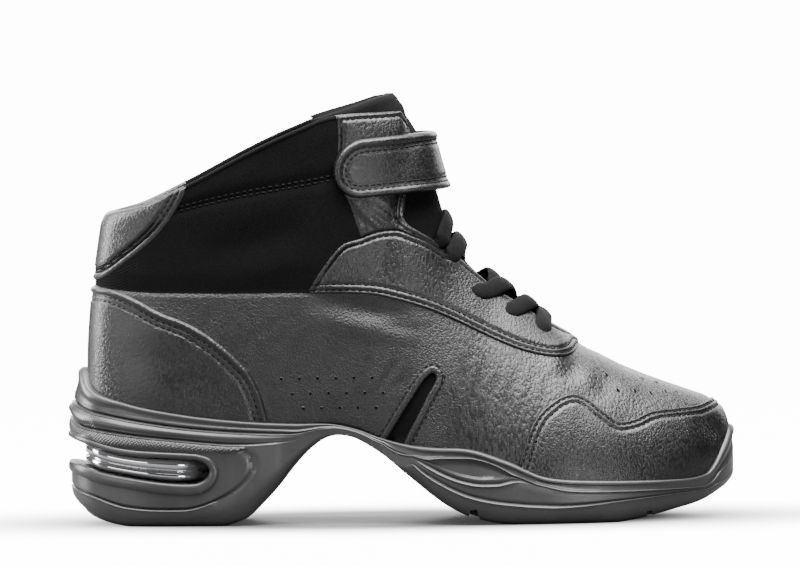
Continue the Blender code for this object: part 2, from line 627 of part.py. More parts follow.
def make_overlays():
    """Toe cap, heel counter, heel collar, eyestay and the two ankle tabs."""
    station = LAST.plan[:, 0]
    whole = range(-LAST.toe, LAST.toe)
    lateral = range(1, LAST.toe)
    medial = range(LAST.toe + 1, LAST.count)
    above_rim = LAST.share_at_height(LAST.sole.rim + CUP_GAP)
    edge = LAST.edge_share

    cap = LAST.share_at_line(TOE_CAP_TOP)
    fits = tall_enough(above_rim, cap) & (station > TOE_CAP_START)
    make_overlay("toe_cap", [[c for c in range(LAST.count) if fits[c]]], above_rim, cap, 5)

    counter = LAST.share_at_line(COUNTER_TOP)
    fits = tall_enough(above_rim, counter) & (station < COUNTER_END)
    make_overlay("heel_counter", [[c for c in whole if fits[c]]], above_rim, counter, 4)

    collar = LAST.share_at_line(HEEL_COLLAR_FOOT)
    fits = tall_enough(collar, edge) & (LAST.top[:, 0] < HEEL_COLLAR_END)
    make_overlay("heel_collar", [[c for c in whole if fits[c]]], collar, edge, 4)

    facing = LAST.share_at_line(FACING_LINE)
    stay_top = np.minimum(LAST.share_at_line(EYESTAY_TOP), edge)
    stay_top = np.where(station > EYESTAY_TOP.x[-1], edge, stay_top)
    fits = tall_enough(facing, stay_top) & (station < EYESTAY_END) & (station > EYESTAY_START)
    runs = [[c for c in half if fits[c]] for half in (lateral, medial)]
    make_overlay("eyestay", runs, facing, stay_top, UPPER_ROWS_HIGH)

    tab_foot = np.minimum(LAST.share_at_line(EYESTAY_TOP) + TAB_GAP_SHARE, 1.0)
    fits = tall_enough(tab_foot, edge) & (LAST.top[:, 0] > TAB_START) & (station < TAB_END)
    for name, half in (("ankle_tab_lateral", lateral), ("ankle_tab_medial", medial)):
        make_overlay(name, [[c for c in half if fits[c]]], tab_foot, edge, 5)


def trace(path, start, end, count):
    """Evenly spaced points of a path between two distances along it."""
    gone = np.concatenate(((0.0,), np.cumsum(np.linalg.norm(np.diff(path, axis=0), axis=1))))
    at = np.linspace(start, end, count)
    return np.column_stack([np.interp(at, gone, path[:, k]) for k in range(3)])


def path_length(path):
    """Length of a path of points."""
    return np.linalg.norm(np.diff(path, axis=0), axis=1).sum()


def grid_normal(grid):
    """Normals of a grid of points."""
    return unit(np.cross(np.gradient(grid, axis=0), np.gradient(grid, axis=1)))


def relax(grid, passes, axis):
    """Even out a grid of points along one axis, leaving its end points alone."""
    points = np.moveaxis(grid.copy(), axis, 0)
    for _ in range(passes):
        points[1:-1] = 0.5 * points[1:-1] + 0.25 * (points[:-2] + points[2:])
    return np.moveaxis(points, 0, axis)


def make_tongue():
    """Padded tongue under the throat, rising past the collar."""
    rows = []
    for row in TONGUE_ROWS:
        path = FINE_LAST.cut(row.x, row.z, row.tilt)
        ridge = path_length(path[:len(path) // 2 + 1])
        rows.append(trace(path, ridge - row.half, ridge + row.half, TONGUE_STEPS + 1))
    grid = relax(np.array(rows)[:, ::-1], 2, 1)
    grid = grid - TONGUE_STANDOFF * grid_normal(grid)
    lean = unit((grid[-1] - grid[-2]).mean(axis=0))
    crest = grid[-1] + TONGUE_RISE * lean
    tongue = make_sheet("tongue", [(np.vstack((grid, crest[None])), False)], "fabric")
    thicken(tongue, TONGUE_WALL, -1)


def make_strap():
    """Ankle strap with a round free end, sewn down on the medial side."""
    radius = STRAP_WIDTH / 2
    x, z = STRAP_END
    rows = []
    for angle in np.linspace(-math.pi / 2, math.pi / 2, STRAP_ROWS):
        path = FINE_LAST.cut(x, z + radius * math.sin(angle), STRAP_TILT)
        nose = len(path) // 2
        short = radius * (1 - math.cos(angle))
        gone = np.concatenate(((0.0,), np.cumsum(np.linalg.norm(np.diff(path, axis=0), axis=1))))
        start = np.interp(x + short, path[:nose, 0], gone[:nose])
        end = np.interp(-STRAP_SEWN_END, -path[nose:, 0], gone[nose:])
        rows.append(trace(path, start, end, STRAP_COLUMNS))
    grid = relax(np.stack(rows, axis=1), 2, 0)
    strap = make_sheet("strap", [(grid + STRAP_STANDOFF * grid_normal(grid), False)], "leather")
    thicken(strap, STRAP_WALL, 1)


def over_throat(station, across):
    """Point of the last at a column's station, a signed distance across from the ridge."""
    columns = np.arange(FINE_LAST.toe + 1)
    place = np.interp(station, FINE_LAST.plan[columns, 0], columns)
    spots = []
    for column in (int(place), int(place) + 1):
        side = column if across < 0 else FINE_LAST.mirror[column]
        down = FINE_LAST.fine_wall[side, ::-1]
        spots.append(trace(down, abs(across), abs(across), 1)[0])
    return spots[0] + (place - int(place)) * (spots[1] - spots[0])


def lace_ribbon(start, end, side, lift, sink):
    """Flat lace from an eyelet on one side over the throat to the far edge, where it dips."""
    begin = np.array((start.station, side * start.down))
    finish = np.array((end.station, -side * (end.throat if sink else end.down)))
    edges = []
    for share in np.linspace(0, 1, LACE_STEPS + 1):
        here = begin + share * (finish - begin)
        spot = over_throat(*here)
        ahead = over_throat(*(here + 0.02 * (finish - begin)))
        forward = over_throat(here[0] + 1.0, here[1]) - over_throat(here[0] - 1.0, here[1])
        run = unit(ahead - spot)
        normal = -side * unit(np.cross(forward, run))
        dip = np.clip((share - LACE_TURN) / (1 - LACE_TURN), 0, 1) if sink else 0.0
        lifted = spot + (lift + dip * dip * (3 - 2 * dip) * (LACE_UNDER - lift)) * normal
        half = 0.5 * LACE_WIDTH * np.cross(normal, run)
        edges.append((lifted - half, lifted, lifted + half))
    return np.array(edges)


def make_lace():
    """Straight bar at the foot of the throat and the crossings above it."""
    ribbon = lace_ribbon(LACE_BAR, LACE_BAR, -1, LACE_OVER, False)
    thicken(make_sheet("lace_bar", [(ribbon, False)], "cord"), LACE_WALL, 1)
    for number, (low, high) in enumerate(zip(EYELETS[:-1], EYELETS[1:]), start=1):
        name = "lace_crossing_%d" % number
        ribbon = lace_ribbon(high, low, -1, LACE_OVER + TWIN_STEP, True)
        over = make_sheet(name, [(ribbon, False)], "cord")
        thicken(over, LACE_WALL, 1)
        ribbon = lace_ribbon(high, low, 1, LACE_OVER, True)
        twin = make_sheet(name + "_twin", [(ribbon, False)], "cord")
        thicken(twin, LACE_WALL, 1)
        SNEAKER.objects.unlink(twin)
        hide_as_cutter(twin)
        joined = over.modifiers.new("twin", "BOOLEAN")
        joined.operation = "UNION"
        joined.solver = "EXACT"
        joined.object = twin


def make_vent(upper):
    """Sunk side vent behind the ball of the foot."""
    rows = []
    for row in VENT_ROWS:
        path = FINE_LAST.cut(row.rear, row.z, 0.0)
        lateral = path[:len(path) // 2]
        x = np.linspace(row.rear, row.front, 4)
        y = np.interp(x, lateral[:, 0], lateral[:, 1]) + VENT_DEPTH
        rows.append(np.column_stack((x, y, np.full(4, row.z))))
    vent = make_sheet("side_vent", [(np.stack(rows, axis=1), False)], "fabric")
    thicken(vent, VENT_REACH, 1)
    SNEAKER.objects.unlink(vent)
    cut_with(upper, hide_as_cutter(vent))


def build():
    """Put the sneaker together."""
    side_out = make_sole()
    make_cushion(side_out)
    make_insole()
    make_vent(make_upper())
    make_tongue()
    make_overlays()
    make_lace()
    make_strap()


for old in list(bpy.data.objects):
    bpy.data.objects.remove(old, do_unlink=True)
SNEAKER = bpy.data.collections.new("high_top_sneaker")
CUTTERS = bpy.data.collections.new("cutters")
bpy.context.scene.collection.children.link(SNEAKER)
bpy.context.scene.collection.children.link(CUTTERS)
build()
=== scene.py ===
"""Looks of a right-foot high-top dance sneaker in black leather, dressed over its solid parts.

Sizes are millimetres from the back of the heel, and each mesh is turned into metres about the
middle of the footprint when it is made. The toe points along +X, the lateral side along -Y.
"""
import math
from collections import namedtuple

import bmesh
import bpy
import numpy as np
from mathutils import Matrix, Vector


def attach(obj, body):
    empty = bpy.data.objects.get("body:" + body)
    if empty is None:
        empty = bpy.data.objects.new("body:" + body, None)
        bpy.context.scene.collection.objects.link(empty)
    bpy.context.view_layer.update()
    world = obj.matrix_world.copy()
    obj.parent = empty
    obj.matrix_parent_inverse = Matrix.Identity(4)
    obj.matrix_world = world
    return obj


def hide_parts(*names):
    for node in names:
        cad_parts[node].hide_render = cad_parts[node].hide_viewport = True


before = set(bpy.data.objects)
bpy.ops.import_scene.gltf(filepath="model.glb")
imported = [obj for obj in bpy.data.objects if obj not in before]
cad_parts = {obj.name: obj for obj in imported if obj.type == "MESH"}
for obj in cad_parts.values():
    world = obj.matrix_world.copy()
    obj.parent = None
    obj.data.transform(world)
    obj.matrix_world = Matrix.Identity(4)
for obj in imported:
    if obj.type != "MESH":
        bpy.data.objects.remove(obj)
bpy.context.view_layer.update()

# Upper
# A shell of soft black leather pulled over a last, with a knitted panel behind the ankle. Its edges
# are folded at collar and throat, a slot is let into its lateral side, and cloth lines it.
MM = 0.001
FOOTPRINT_MIDDLE = np.array((140.0, 0.0, 0.0))
UPPER_WALL = 2.0
COLLAR_SHARE = 0.988
PIECE_GAP = 0.35
CUP_GAP = 0.5
WALL_SAMPLES = 121
RIDGE_START = 8
TOE_FAN_START = 224.0
TOE_FAN_LENGTH = 24.0
Section = namedtuple(
    "Section",
    "name columns foot_x lateral medial top_x top_lateral top_medial top_z rise flare drop reach",
)
SECTIONS = (
    Section("heel_back", 2, 9.8, 0, 0, 16.5, 0, 0, 132.5, 34, 2.6, 30, 5.0),
    Section("heel_turn", 2, 13.5, -16.5, 16.5, 19.5, -13.5, 13.5, 133, 34, 2.8, 30, 5.0),
    Section("heel_side", 2, 26, -26.5, 26.5, 31, -24, 24, 135.5, 34, 3.5, 34, 1.0),
    Section("heel_front", 2, 47, -30.5, 29.5, 50, -30.5, 30, 143.5, 36, 5, 38, -3.0),
    Section("ankle", 2, 73, -30.5, 27, 77, -33.5, 32.5, 157.5, 36, 5, 42, -3.5),
    Section("arch_back", 1, 94, -30, 24, 97, -32.5, 31.5, 166.5, 36, 5, 42, -2.0),
    Section("arch", 3, 108, -30.5, 22.5, 114, -29.5, 29, 172.3, 36, 5, 40, 1.5),
    Section("tab_front", 3, 121, -32, 23, 140.5, -14.5, 14.5, 173.3, 36, 5.5, 30, 13.0),
    Section("ridge_top", 2, 131, -34, 24.5, 145.5, 0, 0, 174.5, 38, 5, 6, 25.0),
    Section("ankle_front", 2, 141, -36.5, 27.5, 153, 0.3, 0.3, 150, 36, 5, 0, 25.0),
    Section("throat", 2, 153, -40, 32, 160, 0.6, 0.6, 125, 30, 5, 0, 26.0),
    Section("instep", 2, 167, -43.2, 37.5, 175, 1.2, 1.2, 105.5, 26, 5, 0, 28.0),
    Section("lace", 2, 183, -45.5, 42.5, 190, 1.8, 1.8, 93, 24, 5, 0, 30.0),
    Section("ball", 1, 199, -46, 45.3, 203, 2.5, 2.5, 82.6, 22, 5, 0, 32.0),
    Section("throat_front", 1, 207.5, -45.4, 45.9, 210.5, 3.1, 3.1, 76.4, 22, 5, 0, 33.0),
    Section("stay_front", 1, 214, -44.4, 45.9, 216, 3.7, 3.7, 72.2, 21, 5, 0, 33.0),
    Section("vamp", 1, 224, -42.2, 45.2, 224.5, 4.6, 4.6, 67.8, 21, 5, 0, 32.0),
    Section("vamp_front", 2, 236, -38, 43, 235, 5.8, 5.8, 62.5, 20, 5, 0, 30.0),
    Section("toe_back", 2, 252, -29, 37.5, 248.5, 7, 7, 57.2, 20, 4.5, 0, 25.0),
    Section("toe_side", 2, 264.5, -17.5, 29.5, 258, 7.7, 7.7, 53.8, 20, 4, 0, 19.0),
    Section("toe_turn", 2, 272, -5, 20, 262.5, 8, 8, 52.2, 21, 4.2, 0, 14.0),
    Section("toe_tip", 0, 274.5, 8, 8, 264, 8, 8, 51.7, 21, 4.4, 0, 12.5),
)
SoleSide = namedtuple("SoleSide", "rim high mid low cut_high cut_mid cut_low swell flare")
SOLE_SIDES = (
    SoleSide(66.0, 52.5, 46.0, 17.0, 0.9, 0.9, 0.7, 0.9, 5.8),
    SoleSide(56.5, 48.4, 41.8, 14.3, 0.9, 0.9, 0.7, 0.9, 4.8),
    SoleSide(51.5, 45.3, 39.2, 9.0, 0.9, 0.9, 0.7, 0.9, 3.4),
    SoleSide(47.0, 41.8, 36.6, 7.6, 0.9, 0.9, 0.7, 0.7, 2.6),
    SoleSide(43.8, 39.4, 34.5, 17.0, 0.8, 0.6, 0.5, 0.4, 2.2),
    SoleSide(42.6, 38.6, 35.8, 31.0, 0.5, 0.1, 0.1, 0.1, 1.2),
    SoleSide(42.4, 40.6, 39.6, 38.2, 0.1, 0.0, 0.0, 0.0, 0.8),
    SoleSide(40.0, 38.9, 38.0, 37.0, 0.0, 0.0, 0.0, 0.0, 0.8),
    SoleSide(36.4, 34.7, 33.0, 31.3, 0.2, 0.1, 0.0, -0.1, 0.8),
    SoleSide(33.8, 31.0, 28.4, 25.0, 0.6, 0.4, 0.4, -0.4, 1.0),
    SoleSide(32.3, 28.6, 22.8, 17.8, 0.9, 0.8, 0.8, -1.2, 1.4),
    SoleSide(31.6, 27.2, 16.4, 11.0, 0.9, 0.9, 0.9, -1.4, 1.8),
    SoleSide(26.5, 22.4, 15.3, 7.8, 0.9, 0.9, 0.9, -1.2, 2.0),
    SoleSide(19.8, 15.3, 11.5, 6.4, 0.9, 0.2, 0.9, 0.2, 2.0),
    SoleSide(18.5, 14.0, 10.8, 6.2, 0.9, 0.0, 0.9, 0.2, 1.9),
    SoleSide(18.1, 13.6, 10.5, 6.4, 0.9, 0.0, 0.9, 0.2, 1.8),
    SoleSide(17.7, 13.4, 10.4, 7.0, 0.9, 0.0, 0.9, 0.2, 1.7),
    SoleSide(17.4, 13.4, 10.9, 8.4, 0.9, 0.0, 0.9, 0.2, 1.4),
    SoleSide(17.2, 13.6, 12.2, 10.6, 0.8, 0.0, 0.7, 0.1, 0.6),
    SoleSide(18.6, 15.0, 13.9, 12.9, 0.4, 0.0, 0.3, 0.0, 0.0),
    SoleSide(30.0, 22.0, 19.2, 16.6, 0.2, 0.0, 0.1, 0.0, -0.2),
    SoleSide(38.2, 28.0, 24.0, 20.0, 0.0, 0.0, 0.0, 0.0, -0.1),
)
Line = namedtuple("Line", "x z")
FOOT_BED = Line(
    (8, 30, 60, 90, 108, 116, 124, 132, 141, 153, 167, 183, 200, 218, 236, 253, 266, 277),
    (42, 40.6, 40.3, 40.7, 41.0, 40.4, 38.0, 34.0, 28.5, 21.5, 14.2, 10, 9, 9, 9.6, 11.5, 13.6, 16),
)
THROAT_EDGE = Line(
    (116, 118, 122, 127, 131, 136, 145, 155, 162, 168, 172, 176),
    (155, 153.5, 147.5, 140.5, 140, 142, 144, 145, 144.4, 142.4, 140.6, 139),
)
THROAT_HALF_GAP = Line(
    (100, 140, 153, 167, 183, 195, 200, 203.5, 207.4),
    (16, 16, 15, 13, 12, 11, 9.5, 7, 0),
)


def through(values, knots, at):
    """Pass a curve through rows of values without overshooting any of them."""
    step = np.diff(knots)[:, None]
    slope = np.diff(values, axis=0) / step
    before = slope[:-1]
    after = slope[1:]
    mean = (step[1:] * before + step[:-1] * after) / (step[1:] + step[:-1])
    limit = 3.0 * np.minimum(np.abs(before), np.abs(after))
    inner = np.where(before * after > 0, np.sign(mean) * np.minimum(np.abs(mean), limit), 0.0)
    tangent = np.vstack((slope[:1], inner, slope[-1:]))
    k = np.clip(np.searchsorted(knots, at, side="right") - 1, 0, len(knots) - 2)
    h = (knots[k + 1] - knots[k])[:, None]
    f = (at - knots[k])[:, None] / h
    start = values[k] * (1 + 2 * f) * (1 - f) ** 2 + h * tangent[k] * f * (1 - f) ** 2
    end = values[k + 1] * f * f * (3 - 2 * f) + h * tangent[k + 1] * f * f * (f - 1)
    return start + end


def along(line, x):
    """Height of a side-view line at the stations x."""
    x = np.asarray(x, dtype=float)
    rows = np.array(line.z, dtype=float)[:, None]
    knots = np.array(line.x, dtype=float)
    flat = np.clip(x.ravel(), knots[0], knots[-1])
    return through(rows, knots, flat)[:, 0].reshape(x.shape)


def unit(vectors):
    """Scale vectors to unit length."""
    return vectors / np.maximum(np.linalg.norm(vectors, axis=-1, keepdims=True), 1e-9)


def cubic_weights(t):
    """Weights of the four handles of a Bezier curve at shares t."""
    return (1 - t) ** 3, 3 * t * (1 - t) ** 2, 3 * t * t * (1 - t), t ** 3


FOOT_LATERAL = np.array([(s.foot_x, s.lateral) for s in SECTIONS], dtype=float)
FOOT_MEDIAL = np.array([(s.foot_x, s.medial) for s in SECTIONS], dtype=float)


class Last:
    """The shoe's last as columns that run right round it, heel to toe and back."""

    def __init__(self, refine):
        self.knots_and_places(refine)
        top_lateral = np.array([(s.top_x, s.top_lateral, s.top_z) for s in SECTIONS], dtype=float)
        top_medial = np.array([(s.top_x, s.top_medial, s.top_z) for s in SECTIONS], dtype=float)
        shape = np.array([(s.rise, s.flare, s.drop, s.reach) for s in SECTIONS], dtype=float)
        ridge = np.array([[float(i >= RIDGE_START)] for i in range(len(SECTIONS))])
        side = np.array(SOLE_SIDES, dtype=float)
        self.plan = self.around(FOOT_LATERAL, FOOT_MEDIAL)
        self.top = self.around(top_lateral, top_medial)
        self.ridge = np.clip(self.around(ridge, ridge), 0, 1)
        self.sole = SoleSide(*self.around(side, side).T)
        self.count = len(self.plan)
        self.toe = self.count // 2
        self.mirror = (self.count - np.arange(self.count)) % self.count
        self.foot = np.column_stack((self.plan, along(FOOT_BED, self.plan[:, 0]) + PIECE_GAP))
        self.raise_walls(*self.around(shape, shape).T[:, :, None])
        self.fine_share = np.tile(np.linspace(0, 1, WALL_SAMPLES), (self.count, 1))
        self.fine_wall = self.wall(self.fine_share)
        self.edge_share = self.throat_share()
        self.rim_share = self.share_at_height(self.sole.rim)

    def knots_and_places(self, refine):
        """Space the sections by their mean chord, alike on both sides of the foot."""
        outer = np.linalg.norm(np.diff(FOOT_LATERAL, axis=0), axis=1)
        inner = np.linalg.norm(np.diff(FOOT_MEDIAL, axis=0), axis=1)
        half = 0.5 * (outer + inner)
        steps = [s.columns * refine for s in SECTIONS[:-1]]
        chord = np.concatenate((half, half[::-1]))
        edges = np.concatenate(((0.0,), np.cumsum(chord)))
        self.girth = edges[-1]
        self.knots = edges[:-1]
        runs = []
        for start, length, count in zip(edges[:-1], chord, steps + steps[::-1]):
            runs.append(start + length * np.arange(count) / count)
        self.places = np.concatenate(runs)

    def around(self, lateral, medial):
        """Spread rows given heel to toe on both sides into columns round the shoe."""
        ring = np.vstack((lateral, medial[-2:0:-1]))
        values = np.vstack((ring, ring, ring))
        knots = np.concatenate((self.knots - self.girth, self.knots, self.knots + self.girth))
        return through(values, knots, self.places)

    def raise_walls(self, rise, flare, drop, reach):
        """Bezier handles that give each column its bulge below and its crown above."""
        run = np.roll(self.plan, -1, axis=0) - np.roll(self.plan, 1, axis=0)
        self.out = unit(np.column_stack((run[:, 1], -run[:, 0], np.zeros(self.count))))
        up = np.array((0.0, 0.0, 1.0))
        one_side = np.gradient(self.top[:self.toe + 1], axis=0)
        lead = np.vstack((one_side, one_side[-2:0:-1]))
        lead[:, 1] = 0.0
        lead = unit(lead)
        spread = self.foot - self.top
        fan = np.clip((self.plan[:, :1] - TOE_FAN_START) / TOE_FAN_LENGTH, 0, 1)
        crown = fan * spread[:, :1] * lead
        crown[:, 1] += spread[:, 1]
        brow = unit(self.ridge * unit(crown) + (1 - self.ridge) * self.out)
        low = self.foot + rise * up + flare * self.out
        high = self.top - drop * up + reach * brow
        self.frame = (self.foot, low, high, self.top)

    def wall(self, share):
        """Points at a share of the way up each column; share is columns by rows."""
        weights = cubic_weights(share[:, :, None])
        return sum(w * p[:, None] for w, p in zip(weights, self.frame))

    def normal(self, share):
        """Outward normals at the same places as wall()."""
        t = share[:, :, None]
        foot, low, high, top = self.frame
        climb = (low - foot)[:, None] * (1 - t) ** 2 + 2 * (high - low)[:, None] * t * (1 - t)
        climb = climb + (top - high)[:, None] * t * t
        runs = [(np.roll(p, -1, axis=0) - np.roll(p, 1, axis=0))[:, None] for p in self.frame]
        run = sum(w * p for w, p in zip(cubic_weights(t), runs))
        return unit(np.cross(run, climb))

    def offset(self, share, distance):
        """Points pushed outward by a distance, alike on both sides of the ridge."""
        points = self.wall(share) + distance * self.normal(share)
        on_ridge = (share > 1 - 1e-6) & (self.ridge > 1 - 1e-6)
        return np.where(on_ridge[:, :, None], 0.5 * (points + points[self.mirror]), points)

    def share_where(self, level):
        """Share up each column where a signed level first rises through zero."""
        beyond = level >= 0
        beyond[:, 0] = False
        first = np.clip(np.argmax(beyond, axis=1), 1, None)
        rows = np.arange(self.count)
        low = level[rows, first - 1]
        high = level[rows, first]
        part = np.clip(-low / np.maximum(high - low, 1e-9), 0, 1)
        share = (first - 1 + part) / (WALL_SAMPLES - 1)
        return np.where(beyond.any(axis=1), share, 1.0)

    def share_at_line(self, line):
        """Share up each column where it crosses a side-view line."""
        return self.share_where(self.fine_wall[:, :, 2] - along(line, self.fine_wall[:, :, 0]))

    def share_at_height(self, height):
        """Share up each column where it reaches its own given height."""
        return self.share_where(self.fine_wall[:, :, 2] - np.asarray(height)[:, None])

    def throat_share(self):
        """Share up each column where the upper ends at the collar or the throat edge."""
        x, y, z = np.moveaxis(self.fine_wall, 2, 0)
        turn = THROAT_EDGE.x[0]
        notch = np.where(z > turn, x - along(THROAT_EDGE, z), -1.0)
        station = self.plan[:, 0]
        half = along(THROAT_HALF_GAP, station)
        gap = half[:, None] - np.abs(y - self.top[:, 1:2] * self.ridge)
        front = (station > THROAT_HALF_GAP.x[0]) & (station < THROAT_HALF_GAP.x[-1])
        gap = np.where(front[:, None] & (z < turn) & (self.fine_share > 0.5), gap, -1.0)
        edge = np.minimum(self.share_where(notch), self.share_where(gap))
        return np.where(self.ridge[:, 0] < 0.5, np.minimum(edge, COLLAR_SHARE), edge)

    def cut(self, x, z, tilt):
        """Cut across the last by a tilted plane, lateral side round the front to medial."""
        level = self.fine_wall[:, :, 2] - z - tilt * (self.fine_wall[:, :, 0] - x)
        points = self.wall(self.share_where(level)[:, None])[:, 0]
        lateral = [c for c in range(1, self.toe) if level[c, -1] > 0]
        last = lateral[-1]
        over, under = level[last, -1], level[last + 1, -1]
        nose = self.top[last] + (self.top[last + 1] - self.top[last]) * over / (over - under)
        return np.vstack((points[lateral], nose, points[self.mirror[lateral[::-1]]]))


SHELL = Last(6)


def add_node(tree, kind, values=None, **settings):
    """New node with its settings, its inputs set to values or linked from other sockets."""
    node = tree.nodes.new(kind)
    for key, value in settings.items():
        setattr(node, key, value)
    for key, value in (values or {}).items():
        if isinstance(value, bpy.types.NodeSocket):
            tree.links.new(value, node.inputs[key])
        else:
            node.inputs[key].default_value = value
    return node


def maths(tree, operation, first, second=0.0):
    """Result of one Math node."""
    return add_node(tree, "ShaderNodeMath", {0: first, 1: second}, operation=operation).outputs[0]


def remap(tree, value, low, high, to_low=0.0, to_high=1.0):
    """Smooth change of a value from one range to another."""
    limits = {"Value": value, "From Min": low, "From Max": high, "To Min": to_low, "To Max": to_high}
    node = add_node(tree, "ShaderNodeMapRange", limits, interpolation_type="SMOOTHSTEP")
    return node.outputs["Result"]


def noise(tree, place, scale, detail):
    """Value of one noise texture."""
    sizes = {"Vector": place, "Scale": scale, "Detail": detail}
    return add_node(tree, "ShaderNodeTexNoise", sizes).outputs["Fac"]


def relief_group(name, sizes):
    """New node group with named sizes in, and a height and a tone out."""
    tree = bpy.data.node_groups.new(name, "ShaderNodeTree")
    for label, kind, value in sizes:
        tree.interface.new_socket(label, in_out="INPUT", socket_type=kind).default_value = value
    for label in ("Height", "Tone"):
        tree.interface.new_socket(label, in_out="OUTPUT", socket_type="NodeSocketFloat")
    return tree, tree.nodes.new("NodeGroupInput").outputs, tree.nodes.new("NodeGroupOutput").inputs


FIBRE_SCALE = 0.7
PULL_LENGTH = 0.03
MOTTLE_SCALE = 42.0
WORKED_SCALE = 60.0


def make_hide_grain():
    """Leather: pebbles and fine creases that can be drawn out one way, and slow mottling."""
    sizes = (
        ("Stretch", "NodeSocketVector", (1.0, 1.0, 1.0)),
        ("Pebbles", "NodeSocketFloat", 900.0),
        ("Domes", "NodeSocketFloat", 0.5),
        ("Streaks", "NodeSocketFloat", 0.6),
        ("Drawn", "NodeSocketFloat", -1.0),
    )
    tree, size, out = relief_group("hide_grain", sizes)
    place = add_node(tree, "ShaderNodeTexCoord").outputs["Object"]
    drawn = add_node(
        tree, "ShaderNodeVectorMath", {0: place, 1: size["Stretch"]}, operation="MULTIPLY"
    ).outputs[0]
    cells = add_node(
        tree, "ShaderNodeTexVoronoi", {"Vector": place, "Scale": size["Pebbles"]}, feature="F1"
    )
    domes = remap(tree, cells.outputs["Distance"], 0.0, 0.75, 1.0, 0.0)
    even = noise(tree, place, size["Pebbles"], 2.0)
    fibres = noise(tree, drawn, maths(tree, "MULTIPLY", size["Pebbles"], FIBRE_SCALE), 1.0)
    axis = add_node(tree, "ShaderNodeSeparateXYZ", {"Vector": place}).outputs
    pulled = remap(tree, maths(tree, "SUBTRACT", axis["X"], size["Drawn"]), 0.0, PULL_LENGTH)
    change = maths(tree, "MULTIPLY", maths(tree, "SUBTRACT", fibres, even), pulled)
    streaks = remap(tree, maths(tree, "ADD", even, change), 0.28, 0.72)
    patches = noise(tree, place, MOTTLE_SCALE, 3.0)
    worked = remap(tree, noise(tree, place, WORKED_SCALE, 2.0), 0.3, 0.7, 0.7, 1.0)
    lines = maths(tree, "MULTIPLY", streaks, size["Streaks"])
    grain = maths(tree, "ADD", maths(tree, "MULTIPLY", domes, size["Domes"]), lines)
    tree.links.new(maths(tree, "MULTIPLY", grain, worked), out["Height"])
    mottle = maths(tree, "MULTIPLY", patches, 0.6)
    tone = maths(tree, "ADD", mottle, maths(tree, "MULTIPLY", streaks, 0.4))
    tree.links.new(tone, out["Tone"])
    return tree


def make_cloth_weave():
    """Knitted cloth: rows of small loops with fuzz between them."""
    tree, size, out = relief_group("cloth_weave", (("Pitch", "NodeSocketFloat", 1.1),))
    place = add_node(tree, "ShaderNodeTexCoord").outputs["Object"]
    axis = add_node(tree, "ShaderNodeSeparateXYZ", {"Vector": place}).outputs
    rate = maths(tree, "DIVIDE", 2000.0 * math.pi, size["Pitch"])
    across = maths(tree, "ADD", axis["X"], axis["Y"])
    ribs = maths(tree, "SINE", maths(tree, "MULTIPLY", across, rate))
    rows = maths(tree, "SINE", maths(tree, "MULTIPLY", axis["Z"], rate))
    loops = maths(tree, "MULTIPLY", maths(tree, "MULTIPLY", ribs, rows), 0.3)
    fuzz = noise(tree, place, 900.0, 4.0)
    tree.links.new(maths(tree, "ADD", loops, maths(tree, "MULTIPLY", fuzz, 0.5)), out["Height"])
    tree.links.new(fuzz, out["Tone"])
    return tree


HIDE_GRAIN = make_hide_grain()
CLOTH_WEAVE = make_cloth_weave()
TONE_RANGE = (0.3, 0.75)


def new_finish(name, settings):
    """New material with its node tree and its shader, some of whose inputs are set."""
    material = bpy.data.materials.new(name)
    material.use_nodes = True
    shader = material.node_tree.nodes["Principled BSDF"]
    for label, value in settings.items():
        shader.inputs[label].default_value = value
    return material, material.node_tree, shader


def dress(tree, shader, relief, dark, light, rough, depth):
    """Colour and gloss between two values by a relief's tone, and a bump from its height."""
    ramp = add_node(tree, "ShaderNodeValToRGB", {"Fac": relief.outputs["Tone"]})
    for element, place, tone in zip(ramp.color_ramp.elements, TONE_RANGE, (dark, light)):
        element.position = place
        element.color = (*tone, 1.0)
    tree.links.new(ramp.outputs["Color"], shader.inputs["Base Color"])
    gloss = remap(tree, relief.outputs["Tone"], *TONE_RANGE, *rough)
    tree.links.new(gloss, shader.inputs["Roughness"])
    height = {"Height": relief.outputs["Height"], "Strength": 1.0, "Distance": depth * MM}
    bump = add_node(tree, "ShaderNodeBump", height)
    tree.links.new(bump.outputs["Normal"], shader.inputs["Normal"])


def leather(name, stretch, pebbles, domes, streaks, depth, drawn=-1.0):
    """Black grained leather with a thin dressing that keeps it half glossy."""
    dressing = {"Specular IOR Level": 0.55, "Coat Weight": 0.1, "Coat Roughness": 0.32}
    material, tree, shader = new_finish(name, dressing)
    sizes = {"Stretch": stretch, "Pebbles": pebbles, "Domes": domes, "Streaks": streaks, "Drawn": drawn}
    relief = add_node(tree, "ShaderNodeGroup", sizes, node_tree=HIDE_GRAIN)
    dress(tree, shader, relief, (0.004, 0.004, 0.0042), (0.009, 0.009, 0.0094), (0.33, 0.48), depth)
    return material


def cloth(name, pitch, depth, tone=0.004):
    """Matt black textile."""
    material, tree, shader = new_finish(name, {"Specular IOR Level": 0.08})
    relief = add_node(tree, "ShaderNodeGroup", {"Pitch": pitch}, node_tree=CLOTH_WEAVE)
    dress(tree, shader, relief, (tone * 0.6,) * 3, (tone * 1.5,) * 3, (0.85, 0.98), depth)
    return material


